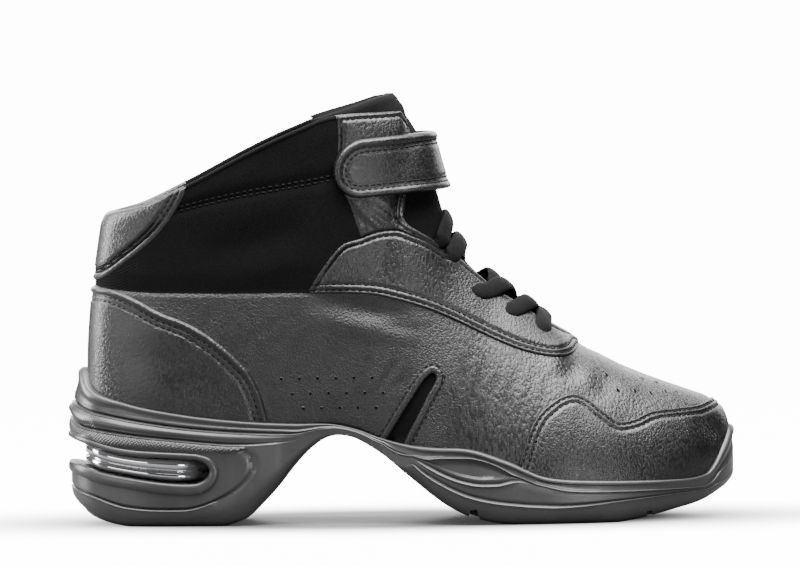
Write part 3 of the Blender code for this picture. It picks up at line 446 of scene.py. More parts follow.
MERGE = 0.00002
UPPER_ROWS_LOW = 34
UPPER_ROWS_HIGH = 34
ROW_CROWDING = 0.35
FACING_LIMIT = 0.8
FACING_LINE = Line(
    (8, 25, 60, 104, 128, 140, 152, 162, 172, 182, 190, 198, 205, 210, 213, 215, 217, 222, 280),
    (101, 98.5, 97.4, 97, 96, 93.3, 89.4, 85, 80, 75.2, 72, 69.8, 68.6, 69.2, 71, 74, 79, 90, 90),
)
QUARTER_STEP = 0.8
QUARTER_STEP_ROUND = 0.9
QUARTER_END = 108.0
QUARTER_FADE = 8.0
RIDGE_FADE = 0.05
KNIT_END = 127.0
KNIT_FADE = 8.0
PAD_SWELL = 0.9
PAD_FOOT_SLOPE = 12.0
PAD_TOP_SLOPE = 18.0
COLLAR_TOP = Line((10, 19.5, 31, 50, 60), (132, 133, 135.5, 143.5, 148))
ROLL_DEPTH = 2.8
ROLL_HEIGHT = 8.0
ROLL_END = 48.0
ROLL_FADE = 14.0
SEAM_SINK = 1.3
SEAM_HALF_WIDTH = 2.2
COLLAR_SEAM = Line((40, 48, 72, 93, 108, 116), (131, 133, 138.5, 142, 144.5, 146))

# Creases as soft troughs between two points of the side view, on the lateral (-1) or medial side (1).
CREASE_RIDGE = 0.5
CREASE_RIDGE_PLACE = 2.1
CREASE_SIDE_FADE = 6.0
Crease = namedtuple("Crease", "side x z end_x end_z width depth")
CREASES = (
    Crease(-1, 100, 95.0, 147, 85.5, 3.8, 1.4),
    Crease(-1, 130, 83, 152, 81, 1.8, 0.35),
    Crease(-1, 128, 55, 141, 70, 1.5, 0.45),
    Crease(-1, 132, 54, 146, 69, 1.4, 0.45),
    Crease(-1, 137, 55, 149, 68, 1.4, 0.35),
    Crease(-1, 76, 76, 94, 89, 2.0, 0.3),
    Crease(-1, 82, 72, 101, 87, 1.9, 0.34),
    Crease(-1, 89, 70, 107, 84, 1.9, 0.3),
    Crease(-1, 96, 69, 112, 81, 1.8, 0.26),
    Crease(-1, 170, 76, 161, 46, 1.7, 0.12),
    Crease(-1, 177, 74, 166, 40, 2.0, 0.14),
    Crease(-1, 184, 70, 174, 44, 1.5, 0.1),
    Crease(-1, 190, 69, 180, 38, 2.1, 0.14),
    Crease(-1, 197, 67, 189, 42, 1.6, 0.1),
    Crease(-1, 203, 65, 197, 47, 1.9, 0.1),
    Crease(-1, 216, 74, 209, 58, 4.0, 0.9),
    Crease(-1, 226, 67, 224, 50, 4.5, 0.8),
    Crease(-1, 264, 44, 276, 30, 5.0, 0.9),
    Crease(-1, 117, 133, 131, 121, 1.6, 0.6),
    Crease(-1, 122, 135, 136, 124, 1.6, 0.5),
    Crease(-1, 127, 136, 141, 124.5, 0.9, 0.9),
    Crease(-1, 56, 112, 104, 126, 6.0, 1.0),
    Crease(-1, 60, 150, 100, 158, 5.0, 0.5),
    Crease(-1, 24, 74, 62, 64, 7.0, 0.6),
    Crease(1, 98, 90, 150, 84, 3.6, 1.3),
    Crease(1, 130, 60, 150, 76, 2.4, 0.5),
    Crease(1, 176, 74, 166, 40, 2.8, 0.5),
    Crease(1, 190, 69, 182, 38, 2.8, 0.5),
    Crease(1, 214, 74, 208, 54, 4.0, 0.9),
    Crease(1, 228, 66, 226, 48, 4.5, 0.7),
    Crease(1, 58, 110, 102, 124, 6.0, 1.0),
    Crease(1, 24, 72, 60, 62, 7.0, 0.6),
)


def crease_height(points):
    """Height of the creases, troughs with a soft ridge on each side, and of the rolled collar."""
    height = np.zeros(points.shape[:-1])
    for crease in CREASES:
        run = np.array((crease.end_x - crease.x, crease.end_z - crease.z), dtype=float)
        away = points[..., (0, 2)] - (crease.x, crease.z)
        share = (away @ run) / (run @ run)
        across = np.abs(away[..., 0] * run[1] - away[..., 1] * run[0]) / np.linalg.norm(run)
        across = across / crease.width
        fade = np.clip(1 - (2 * share - 1) ** 2, 0, 1)
        fade = fade * np.clip(crease.side * points[..., 1] / CREASE_SIDE_FADE, 0, 1)
        ridges = CREASE_RIDGE * np.exp(-(across - CREASE_RIDGE_PLACE) ** 2)
        height += crease.depth * fade * (ridges - np.exp(-across ** 2))
    below_top = along(COLLAR_TOP, points[..., 0]) - points[..., 2]
    rolled = np.clip(1 - below_top / ROLL_HEIGHT, 0, 1) ** 2
    return height - ROLL_DEPTH * rolled * np.clip((ROLL_END - points[..., 0]) / ROLL_FADE, 0, 1)


def soft_step(distance, radius):
    """Rounded edge: rises from nought at an edge to one at the radius."""
    return np.sqrt(np.clip(1 - np.clip(1 - distance / radius, 0, 1) ** 2, 0, 1))


def new_piece(name, mesh, materials):
    """Smooth object for a finished mesh, with its materials."""
    piece = bpy.data.objects.new(name, mesh)
    bpy.context.scene.collection.objects.link(piece)
    for material in materials:
        mesh.materials.append(material)
    mesh.polygons.foreach_set("use_smooth", [True] * len(mesh.polygons))
    return piece


def skin(name, grids, materials, paint=None, measure=False):
    """Piece through grids of points, columns by rows, welded where points coincide.

    Each grid comes with True where its last column joins the first. Paint gives each face's
    material, and measure adds UV coordinates in millimetres.
    """
    spots = []
    faces = []
    maps = []
    start = 0
    for grid, ring in grids:
        columns, rows = grid.shape[:2]
        index = start + np.arange(columns * rows).reshape(columns, rows)
        here = index if ring else index[:-1]
        there = np.roll(index, -1, axis=0) if ring else index[1:]
        quads = np.stack((here[:, :-1], there[:, :-1], there[:, 1:], here[:, 1:]), axis=-1)
        faces.append(quads.reshape(-1, 4))
        spots.append((grid.reshape(-1, 3) - FOOTPRINT_MIDDLE) * MM)
        start += columns * rows
        if measure:
            length = np.linalg.norm(np.diff(grid.mean(axis=1), axis=0), axis=1)
            girth = np.linalg.norm(np.diff(grid[columns // 2], axis=0), axis=1)
            u = np.concatenate(((0.0,), np.cumsum(length)))
            v = np.concatenate(((0.0,), np.cumsum(girth)))
            maps.append(np.stack(np.meshgrid(u, v, indexing="ij"), axis=-1).reshape(-1, 2))
    faces = np.concatenate(faces)
    mesh = bpy.data.meshes.new(name)
    mesh.from_pydata(np.concatenate(spots), [], faces.tolist())
    if paint is not None:
        mesh.polygons.foreach_set("material_index", np.asarray(paint, dtype=np.int32).ravel())
    if measure:
        layer = mesh.uv_layers.new(name="UVMap")
        layer.data.foreach_set("uv", np.concatenate(maps)[faces.ravel()].ravel())
    work = bmesh.new()
    work.from_mesh(mesh)
    bmesh.ops.remove_doubles(work, verts=work.verts, dist=MERGE)
    work.to_mesh(mesh)
    work.free()
    return new_piece(name, mesh, materials)


def settle(piece):
    """Turn a piece's modifiers into its plain mesh."""
    graph = bpy.context.evaluated_depsgraph_get()
    mesh = bpy.data.meshes.new_from_object(piece.evaluated_get(graph))
    piece.modifiers.clear()
    piece.data = mesh
    return piece


def hold(piece, slot, *nodes):
    """Fix a piece to the shoe, hiding the solids that it stands for. The slot is not used."""
    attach(piece, "root")
    if nodes:
        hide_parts(*nodes)
    return piece


def quarter_step(x):
    """Height of the quarter's edge over the knit at stations x, running out to the front."""
    return QUARTER_STEP * np.clip((QUARTER_END - x) / QUARTER_FADE, 0, 1)


def upper_grid():
    """Outer skin of the upper, and which of its faces are knitted."""
    edge = SHELL.edge_share[:, None]
    facing = np.minimum(SHELL.share_at_line(FACING_LINE)[:, None], FACING_LIMIT * edge)
    low = np.linspace(0, 1, UPPER_ROWS_LOW + 1)[None]
    low = 1 - (1 - low) * (1 - ROW_CROWDING * low)
    high = np.linspace(0, 1, UPPER_ROWS_HIGH + 1)[None, 1:]
    share = np.hstack((low * facing, facing + high * (edge - facing)))
    points = SHELL.offset(share, 0.0)
    below = facing - share
    span = np.linalg.norm(np.diff(points, axis=1), axis=2).sum(axis=1, keepdims=True)
    step = quarter_step(points[..., 0]) * soft_step(np.clip(below, 0, None) * span, QUARTER_STEP_ROUND)
    seam = points[..., 2] - along(COLLAR_SEAM, points[..., 0])
    padded = np.clip(-below * PAD_FOOT_SLOPE, 0, 1) * np.clip((edge - share) * PAD_TOP_SLOPE, 0, 1)
    padded = padded * np.clip((KNIT_END - points[..., 0]) / KNIT_FADE, 0, 1)
    pad = padded * (PAD_SWELL - SEAM_SINK * np.exp(-(seam / SEAM_HALF_WIDTH) ** 2))
    closed_ridge = np.clip((1 - share) / RIDGE_FADE, 0, 1)
    fade = np.where(SHELL.ridge > 0.5, closed_ridge, 1.0)
    height = fade * (crease_height(points) + step + pad)
    knitted = (below <= 1e-9) & (points[..., 0] < KNIT_END)
    return points + height[..., None] * SHELL.normal(share), knitted[:, :-1]


def travelled(path):
    """Distance gone at each point of a path."""
    steps = np.linalg.norm(np.diff(path[:, :3], axis=0), axis=1)
    return np.concatenate(((0.0,), np.cumsum(steps)))


def trace(path, start, end, count):
    """Evenly spaced points of a path between two distances along it."""
    gone = travelled(path)
    at = np.linspace(start, end, count)
    return np.column_stack([np.interp(at, gone, values) for values in path.T])


def sweep(path, up, half_width, half_height, closed, count=12):
    """Grid of an oval bead along a path, its height along the given up vectors."""
    if closed:
        run = np.roll(path, -1, axis=0) - np.roll(path, 1, axis=0)
    else:
        run = np.gradient(path, axis=0)
    side = unit(np.cross(unit(run), up))
    up = unit(np.cross(side, unit(run)))
    turn = np.linspace(0, 2 * math.pi, count + 1)[None, :, None]
    half_width = np.broadcast_to(half_width, len(path))[:, None, None]
    half_height = np.broadcast_to(half_height, len(path))[:, None, None]
    across = half_width * np.cos(turn) * side[:, None]
    return path[:, None] + across + half_height * np.sin(turn) * up[:, None]


VentRow = namedtuple("VentRow", "z rear front")
VENT_ROWS = (
    VentRow(33.0, 131.0, 140.4),
    VentRow(37.5, 133.8, 142.4),
    VentRow(45.0, 138.4, 146.4),
    VentRow(54.0, 144.2, 151.0),
    VentRow(60.0, 148.2, 154.2),
    VentRow(62.0, 149.8, 154.4),
    VentRow(63.4, 151.4, 153.8),
)
VENT_DEPTH = 1.1
VENT_CUTTER_WALL = 6.0


def lateral_point(x, z):
    """Point of the last's lateral side at a place of the side view."""
    path = SHELL.cut(x, z, 0.0)
    side = path[:len(path) // 2]
    return np.array((x, np.interp(x, side[:, 0], side[:, 1]), z))


def cut_vent(piece, finish):
    """Sink the side slot into the upper, with a floor of knitted cloth."""
    rows = [[lateral_point(x, r.z) for x in np.linspace(r.rear, r.front, 6)] for r in VENT_ROWS]
    floor = np.array(rows).transpose(1, 0, 2)
    floor[..., 1] += VENT_DEPTH
    cutter = skin("vent", [(floor, False)], [finish])
    depth = cutter.modifiers.new("depth", "SOLIDIFY")
    depth.thickness = VENT_CUTTER_WALL * MM
    depth.offset = 1
    cut = piece.modifiers.new("vent", "BOOLEAN")
    cut.object = cutter
    cut.solver = "EXACT"
    cut.material_mode = "TRANSFER"
    settle(piece)
    bpy.data.objects.remove(cutter)


upper_leather = leather("upper_leather", (1.0, 1.0, 0.25), 1300.0, 0.3, 0.9, 0.2, 0.008)
knit = cloth("knitted_panel", 1.2, 0.22)
lining = cloth("lining_cloth", 1.5, 0.25, 0.03)
upper_skin, knitted = upper_grid()
finishes = [upper_leather, knit, lining, lining]
upper = skin("leather_upper", [(upper_skin, True)], finishes, knitted)
wall = upper.modifiers.new("wall", "SOLIDIFY")
wall.thickness = UPPER_WALL * MM
wall.offset = -1
wall.material_offset = 2
settle(upper)
cut_vent(upper, knit)
hold(upper, "upper_leather", "upper")

# Binding round the collar and the throat, knitted along the panel and leather elsewhere.
BINDING_POINTS = 520
BINDING_PASSES = 10
BINDING_HALF_WIDTH = 1.5
BINDING_HALF_HEIGHT = 1.2
BINDING_DROP = 0.8
BINDING_LEAN = 0.02
KNIT_BINDING_START = 50.0
KNIT_BINDING_END = 113.0
edge_share = SHELL.edge_share[:, None]
rim_up = unit(SHELL.offset(edge_share, 0.0)[:, 0] - SHELL.offset(edge_share - BINDING_LEAN, 0.0)[:, 0])
rim_drop = crease_height(SHELL.offset(edge_share, 0.0))[..., None] - 0.5 * UPPER_WALL
rim = SHELL.offset(edge_share, rim_drop)[:, 0] - BINDING_DROP * rim_up
free = np.flatnonzero((SHELL.ridge[:, 0] < 0.5) | (SHELL.edge_share < 1 - 1e-6))
loop = np.hstack((rim, rim_up))[np.append(free, free[0])]
loop = trace(loop, 0, travelled(loop)[-1], BINDING_POINTS + 1)[:-1]
for _ in range(BINDING_PASSES):
    loop = 0.5 * loop + 0.25 * (np.roll(loop, 1, axis=0) + np.roll(loop, -1, axis=0))
bead = sweep(loop[:, :3], unit(loop[:, 3:]), BINDING_HALF_WIDTH, BINDING_HALF_HEIGHT, True)
soft_part = (loop[:, 0] > KNIT_BINDING_START) & (loop[:, 0] < KNIT_BINDING_END)
soft_part = np.repeat(soft_part[:, None], bead.shape[1] - 1, axis=1)
binding = skin("collar_binding", [(bead, True)], [upper_leather, knit], soft_part)
hold(binding, "upper_leather")

# Raised leather edge round the slot.
VENT_FRAME_GAP = 1.2
VENT_FRAME_TIP = (152.6, 64.8)
VENT_FRAME_POINTS = 80
VENT_FRAME_HALF_WIDTH = 1.5
VENT_FRAME_HALF_HEIGHT = 0.75
vent_rear = [lateral_point(row.rear - VENT_FRAME_GAP, row.z) for row in VENT_ROWS]
vent_top = [lateral_point(*VENT_FRAME_TIP)]
vent_front = [lateral_point(row.front + VENT_FRAME_GAP, row.z) for row in VENT_ROWS[::-1]]
frame_path = np.array(vent_rear + vent_top + vent_front)
gone = travelled(frame_path)
frame_path = through(frame_path, gone, np.linspace(0, gone[-1], VENT_FRAME_POINTS))
outward = np.tile((0.0, -1.0, 0.0), (len(frame_path), 1))
vent_bead = sweep(frame_path, outward, VENT_FRAME_HALF_WIDTH, VENT_FRAME_HALF_HEIGHT, False)
vent_frame = skin("vent_frame", [(vent_bead, False)], [upper_leather])
hold(vent_frame, "upper_leather")


# Overlays
# Toe cap, heel counter, heel collar, eyestay and ankle tabs: thicker leather with turned edges,
# cut to shape and sewn flat on the upper with one or two rows of thread.
OVERLAY_BASE = 0.12
OVERLAY_WALL = 1.2
EDGE_ROUND = 1.7
STITCH_SINK = 0.85
STITCH_SINK_WIDTH = 0.7
STITCH_SINK_EDGE = 2.0
SEAM_CLEARANCE = 0.9
BEAD_INSET = 1.5
PAD_REACH = 6.0
ROW_BUNCHING = 0.12
LEAST_RISE = 0.006
EYESTAY_TOP = Line(
    (100, 106, 115, 123, 130, 138, 144, 153, 158),
    (96, 106, 117, 119.6, 122, 122.6, 120.5, 116, 112),
)
TOE_CAP_TOP = Line(
    (186, 189.4, 191.8, 195.3, 201, 206.6, 211, 217, 224, 231, 237, 243, 255, 265, 271, 276),
    (20, 29, 36.3, 43.4, 49.2, 52.6, 53.4, 51.4, 46, 41.6, 42.6, 45.0, 46, 47, 49.8, 54),
)
COUNTER_TOP = Line(
    (6, 14, 22, 30, 39, 49, 58, 64, 72, 78, 81.6, 84, 86),
    (100, 100, 98.4, 95, 90, 86, 81, 76.4, 69, 61.7, 53, 44, 38),
)
HEEL_COLLAR_FOOT = Line(
    (6, 12, 18, 25, 32, 39, 43, 47.5, 51, 54),
    (101.5, 102.5, 105, 110, 115.5, 122, 127, 134, 141, 150),
)
TOE_CAP_START = 187.0
EYESTAY_START = 93.0
EYESTAY_END = 216.0
COUNTER_END = 86.0
HEEL_COLLAR_END = 52.0
TAB_START = 113.5
TAB_REAR = Line((106, 113, 117.5, 121, 123.5, 128), (156, 142, 136, 127, 118, 90))
TAB_END = 150.0
TAB_GAP = 0.002
TUCKED = 2.0
TRIM = Last(12)


def edge_distance(points, paths):
    """Distance of each point of a grid to the nearest of some paths."""
    near = np.full(points.shape[:2], 1e6)
    for path in paths:
        start = path[:-1]
        run = np.diff(path, axis=0)
        size = np.maximum((run ** 2).sum(axis=1), 1e-9)
        for k, column in enumerate(points):
            away = column[:, None] - start[None]
            share = np.clip((away * run).sum(axis=2) / size, 0, 1)
            gap = np.linalg.norm(away - share[..., None] * run, axis=2).min(axis=1)
            near[k] = np.minimum(near[k], gap)
    return near


def level_line(field, level, points, border):
    """Points and edges of the line where a grid's field has a level, clear of its border."""
    above = field > level
    along_cut = above[:-1] != above[1:]
    up_cut = above[:, :-1] != above[:, 1:]
    along_part = (level - field[:-1]) / np.where(along_cut, field[1:] - field[:-1], 1)
    up_part = (level - field[:, :-1]) / np.where(up_cut, field[:, 1:] - field[:, :-1], 1)
    along_spots = points[:-1] + along_part[..., None] * (points[1:] - points[:-1])
    up_spots = points[:, :-1] + up_part[..., None] * (points[:, 1:] - points[:, :-1])
    along_id = np.where(along_cut, np.cumsum(along_cut).reshape(along_cut.shape) - 1, -1)
    first = int(along_cut.sum())
    up_id = np.where(up_cut, first + np.cumsum(up_cut).reshape(up_cut.shape) - 1, -1)
    sides = np.stack((along_id[:, :-1], along_id[:, 1:], up_id[:-1], up_id[1:]), axis=-1)
    pairs = np.sort(sides, axis=-1)[..., 2:]
    clear = np.minimum(border[:-1], border[1:])
    clear = np.minimum(clear[:, :-1], clear[:, 1:]) > SEAM_CLEARANCE
    crossed = ((sides >= 0).sum(axis=-1) == 2) & clear
    return np.concatenate((along_spots[along_cut], up_spots[up_cut])), pairs[crossed]


seams = []


def panel(name, runs, low, high, sewn, rows, bead=0.0, pad=0.0):
    """Overlay between two shares of the columns, with rounded edges and sunk stitch lines.

    Sewn gives the sides that are stitched, each with the distances of its rows from the edge.
    """
    climb = np.linspace(0, 1, rows + 1)
    climb = climb - ROW_BUNCHING * np.sin(2 * math.pi * climb)
    share = low[:, None] + climb[None] * (high - low)[:, None]
    flat = TRIM.offset(share, OVERLAY_BASE)
    fold = crease_height(flat)
    grids = []
    for run in runs:
        part = flat[run]
        free = (high[run] < 1 - 1e-6) | (TRIM.ridge[run, 0] < 0.5)
        sides = {"low": part[:, 0], "high": part[free, -1], "start": part[0], "end": part[-1]}
        border = edge_distance(part, sides.values())
        edge_step = soft_step(border, EDGE_ROUND)
        lift = OVERLAY_WALL * edge_step + pad * (1 - np.exp(-(border / PAD_REACH) ** 2))
        rows_sewn = []
        for keys, insets in sewn:
            seam = edge_distance(part, [sides[key] for key in keys.split()])
            lift += bead * np.exp(-(seam - BEAD_INSET) ** 2) * edge_step
            rows_sewn += [(seam, inset) for inset in insets]
        for seam, inset in rows_sewn:
            trough = np.exp(-((seam - inset) / STITCH_SINK_WIDTH) ** 2)
            lift -= STITCH_SINK * trough * soft_step(border, STITCH_SINK_EDGE)
        under = np.zeros(share.shape + (1,))
        under[run, :, 0] = OVERLAY_BASE + fold[run]
        over = under.copy()
        over[run, :, 0] += np.clip(lift, 0, None)
        top = TRIM.offset(share, over)[run]
        grids.append((top, False))
        grids.append((TRIM.offset(share, under)[run][:, ::-1], False))
        seams.extend(level_line(seam, inset, top, border) for seam, inset in rows_sewn)
    return skin(name, grids, [overlay_leather])


def tall_columns(low, high, order):
    """Columns where a panel between two shares has some height."""
    return [c for c in order if high[c] - low[c] > LEAST_RISE]


overlay_leather = leather("overlay_leather", (1.0, 1.0, 0.7), 1400.0, 0.5, 0.6, 0.17)
station = TRIM.plan[:, 0]
whole = range(-TRIM.toe, TRIM.toe)
lateral = range(1, TRIM.toe)
medial = range(TRIM.toe + 1, TRIM.count)
tuck = TRIM.share_at_height(TRIM.sole.rim - TUCKED)
edge = TRIM.edge_share

cap = TRIM.share_at_line(TOE_CAP_TOP)
run = tall_columns(tuck, cap, [c for c in range(TRIM.count) if station[c] > TOE_CAP_START])
toe_cap = panel("toe_cap_leather", [run], tuck, cap, (("high", (1.6, 4.0)),), 46)
hold(toe_cap, "overlay_leather", "toe_cap")

counter = TRIM.share_at_line(COUNTER_TOP)
run = tall_columns(tuck, counter, [c for c in whole if station[c] < COUNTER_END])
heel_counter = panel("heel_counter_leather", [run], tuck, counter, (("high", (3.6, 5.6)),), 56, 0.5)
hold(heel_counter, "overlay_leather", "heel_counter")

collar = TRIM.share_at_line(HEEL_COLLAR_FOOT)
run = tall_columns(collar, edge, [c for c in whole if TRIM.top[c, 0] < HEEL_COLLAR_END])
heel_collar = panel("heel_collar_leather", [run], collar, edge, (("low", (3.0, 4.8)),), 40)
hold(heel_collar, "overlay_leather", "heel_collar")

facing = TRIM.share_at_line(FACING_LINE)
stay_top = np.minimum(TRIM.share_at_line(EYESTAY_TOP), edge)
stay_top = np.where(station > EYESTAY_TOP.x[-1], edge, stay_top)
fits = (station < EYESTAY_END) & (station > EYESTAY_START)
runs = [tall_columns(facing, stay_top, [c for c in half if fits[c]]) for half in (lateral, medial)]
eyestay = panel("eyestay_leather", runs, facing, stay_top, (("low", (1.5, 3.9)), ("high", (2.2,))), 46)
hold(eyestay, "overlay_leather", "eyestay")

tab_foot = np.minimum(TRIM.share_at_line(EYESTAY_TOP) + TAB_GAP, 1.0)
tab_foot = np.maximum(tab_foot, TRIM.share_at_line(TAB_REAR))
fits = (TRIM.top[:, 0] > TAB_START) & (station < TAB_END)
for name, half in (("ankle_tab_lateral", lateral), ("ankle_tab_medial", medial)):
    run = tall_columns(tab_foot, edge, [c for c in half if fits[c]])
    sewn = ((("high start" if half is lateral else "high end"), (2.0,)),)
    tab = panel(name + "_leather", [run], tab_foot, edge, sewn, 54, pad=1.2)
    hold(tab, "overlay_leather", name)


# Stitches
# Black bonded thread in short lock stitches, pulled down into the leather along every seam. One or
# two rows hold each overlay, one goes round the slot and two quilt the knitted panel.
STITCH_PITCH = 2.7
STITCH_LENGTH = 1.05
THREAD_RADIUS = 0.42
SLOT_SEAM = 3.2
SLOT_SEAM_TIP = [(151.0, 67.0), (154.6, 66.6)]
SLOT_SEAM_LIFT = -0.05
KNIT_ROWS = (-0.9, 0.9)
KNIT_SEAM_LIFT = 0.1
KNIT_SEAM_STATIONS = np.linspace(46, 110, 24)
HEEL_TURN = 20.0


def new_geometry(name, inputs):
    """New geometry tree with named inputs."""
    tree = bpy.data.node_groups.new(name, "GeometryNodeTree")
    tree.interface.new_socket("Geometry", in_out="INPUT", socket_type="NodeSocketGeometry")
    tree.interface.new_socket("Geometry", in_out="OUTPUT", socket_type="NodeSocketGeometry")
    for label, kind in inputs:
        tree.interface.new_socket(label, in_out="INPUT", socket_type=kind)
    return tree, tree.nodes.new("NodeGroupInput").outputs, tree.nodes.new("NodeGroupOutput").inputs


def grow(piece, tree, values):
    """Run a geometry tree on a piece with named values, and keep the result as its mesh."""
    modifier = piece.modifiers.new(tree.name, "NODES")
    modifier.node_group = tree
    for item in tree.interface.items_tree:
        if item.in_out == "INPUT" and item.name in values:
            modifier[item.identifier] = values[item.name]
    return settle(piece)


def scatter(tree, points, shape, direction, scale, finish):
    """Copies of a shape on points, turned along a direction, made real and given their finish."""
    turn = add_node(tree, "FunctionNodeAlignRotationToVector", {"Vector": direction}, axis="Z")
    places = {"Points": points, "Instance": shape, "Rotation": turn.outputs["Rotation"], "Scale": scale}
    copies = add_node(tree, "GeometryNodeInstanceOnPoints", places).outputs["Instances"]
    real = add_node(tree, "GeometryNodeRealizeInstances", {"Geometry": copies}).outputs["Geometry"]
    painted = add_node(tree, "GeometryNodeSetMaterial", {"Geometry": real, "Material": finish})
    return painted.outputs["Geometry"]


def make_stitch_tree():
    """Stitches at an even pitch along the edges of a mesh."""
    inputs = (
        ("Pitch", "NodeSocketFloat"), ("Length", "NodeSocketFloat"),
        ("Radius", "NodeSocketFloat"), ("Thread", "NodeSocketMaterial"),
    )
    tree, size, out = new_geometry("saddle_stitches", inputs)
    curve = add_node(tree, "GeometryNodeMeshToCurve", {"Mesh": size["Geometry"]})
    even = add_node(
        tree, "GeometryNodeResampleCurve", {"Curve": curve.outputs["Curve"], "Length": size["Pitch"]},
        mode="LENGTH",
    )
    bead = add_node(tree, "GeometryNodeMeshUVSphere", {"Segments": 6, "Rings": 5, "Radius": 1.0})
    shape = add_node(
        tree, "ShaderNodeCombineXYZ", {"X": size["Radius"], "Y": size["Radius"], "Z": size["Length"]}
    )
    tangent = add_node(tree, "GeometryNodeInputTangent").outputs["Tangent"]
    sewn = scatter(
        tree, even.outputs["Curve"], bead.outputs["Mesh"], tangent, shape.outputs["Vector"], size["Thread"]
    )
    tree.links.new(sewn, out["Geometry"])
    return tree


STITCH_TREE = make_stitch_tree()


def stitch(name, lines, finish, slot):
    """Rows of stitches along seam lines."""
    spots = []
    pairs = []
    start = 0
    for points, edges in lines:
        spots.append((points - FOOTPRINT_MIDDLE) * MM)
        pairs.append(edges + start)
        start += len(points)
    mesh = bpy.data.meshes.new(name)
    mesh.from_pydata(np.concatenate(spots), np.concatenate(pairs).tolist(), [])
    piece = new_piece(name, mesh, [])
    sizes = {"Pitch": STITCH_PITCH * MM, "Length": STITCH_LENGTH * MM, "Radius": THREAD_RADIUS * MM}
    grow(piece, STITCH_TREE, {**sizes, "Thread": finish})
    piece.data.polygons.foreach_set("use_smooth", [True] * len(piece.data.polygons))
    return hold(piece, slot)


def path_edges(path):
    """Points of a path with the edges between them."""
    order = np.arange(len(path))
    return path, np.column_stack((order[:-1], order[1:]))


def on_side(x, z, side, lift):
    """Point and normal of the upper's side at a place of the side view."""
    columns = np.arange(1, SHELL.toe)
    picked = columns if side < 0 else SHELL.mirror[columns]
    share = SHELL.share_at_height(np.full(SHELL.count, z))
    points = SHELL.offset(share[:, None], 0.0)
    normals = SHELL.normal(share[:, None])
    points = points + crease_height(points)[..., None] * normals
    row = np.hstack((points[picked, 0], normals[picked, 0]))
    row = row[(share[picked] < 1 - 1e-6) & (row[:, 0] > HEEL_TURN)]
    row = row[np.argsort(row[:, 0])]
    found = np.array([np.interp(x, row[:, 0], values) for values in row.T])
    normal = unit(found[3:])
    return found[:3] + lift * normal, normal


def seam_on_side(places, side, lift):
    """Seam line through places of the side view."""
    return path_edges(np.array([on_side(x, z, side, lift)[0] for x, z in places]))


def plain_finish(name, tone, roughness, gloss):
    """Finish of one black or grey tone."""
    settings = {"Base Color": (tone, tone, tone, 1.0), "Roughness": roughness, "Specular IOR Level": gloss}
    return new_finish(name, settings)


thread, _, _ = plain_finish("thread", 0.003, 0.6, 0.2)
stitch("overlay_stitches", seams, thread, "overlay_leather")
slot_line = [(row.rear - SLOT_SEAM, row.z) for row in VENT_ROWS[:-1]] + SLOT_SEAM_TIP
slot_line += [(row.front + SLOT_SEAM, row.z) for row in VENT_ROWS[-2::-1]]
stitch("slot_stitches", [seam_on_side(slot_line, -1, SLOT_SEAM_LIFT)], thread, "upper_leather")

knit_thread, _, _ = plain_finish("knit_thread", 0.004, 0.6, 0.18)
knit_seams = []
for side in (-1, 1):
    for row in KNIT_ROWS:
        line = [(x, float(along(COLLAR_SEAM, x)) + row) for x in KNIT_SEAM_STATIONS]
        knit_seams.append(seam_on_side(line, side, KNIT_SEAM_LIFT))
stitch("knit_stitches", knit_seams, knit_thread, "upper_leather")


# Perforations
# Holes punched through the leather: three staggered rows on each quarter and a loose group on the
# vamp above the toe cap. Their rims are pressed soft by the punch, and a near-black disc in each
# stands for its depth as painted shade.
QUARTER_HOLE = 0.55
VAMP_HOLE = 0.75
HOLE_ROWS = ((89.5, 61.5, 6), (94.0, 55.2, 6), (98.6, 49.0, 5))
HOLE_PITCH = 7.6
HOLE_LIFT = 0.1
VAMP_HOLES = (
    (225.4, 61.2), (240.7, 58.3), (246.7, 56.6), (230.1, 54.3), (237.3, 53.7), (243.8, 52.7),
    (250.2, 53.0), (254.9, 52.4),
)


def make_hole_tree():
    """Punched hole with a soft lip at each point of a mesh, along its own facing, its depth a near-black
    disc of painted shade.
    """
    inputs = (
        ("Radius", "NodeSocketFloat"), ("Lip", "NodeSocketMaterial"), ("Dark", "NodeSocketMaterial"),
    )
    tree, size, out = new_geometry("punched_holes", inputs)
    floor = add_node(tree, "GeometryNodeMeshCircle", {"Vertices": 12, "Radius": 1.0}, fill_type="NGON")
    lip = add_node(
        tree, "GeometryNodeMeshCone",
        {"Vertices": 12, "Side Segments": 2, "Radius Top": 1.0, "Radius Bottom": 1.5, "Depth": 0.22},
        fill_type="NONE",
    )
    facing = add_node(
        tree, "GeometryNodeInputNamedAttribute", {"Name": "facing"}, data_type="FLOAT_VECTOR"
    ).outputs["Attribute"]
    holes = add_node(tree, "GeometryNodeJoinGeometry")
    for shape, finish in ((floor, size["Dark"]), (lip, size["Lip"])):
        mesh = shape.outputs["Mesh"]
        placed = scatter(tree, size["Geometry"], mesh, facing, size["Radius"], finish)
        tree.links.new(placed, holes.inputs["Geometry"])
    tree.links.new(holes.outputs["Geometry"], out["Geometry"])
    return tree


HOLE_TREE = make_hole_tree()


def punch(name, places, radius, lip, slot):
    """Punched holes at places with their facings."""
    spots = np.array([(spot - FOOTPRINT_MIDDLE) * MM for spot, _ in places])
    mesh = bpy.data.meshes.new(name)
    mesh.from_pydata(spots, [], [])
    layer = mesh.attributes.new("facing", "FLOAT_VECTOR", "POINT")
    layer.data.foreach_set("vector", np.array([facing for _, facing in places]).ravel())
    piece = new_piece(name, mesh, [])
    return hold(grow(piece, HOLE_TREE, {"Radius": radius * MM, "Lip": lip, "Dark": hole_painted_shade}), slot)
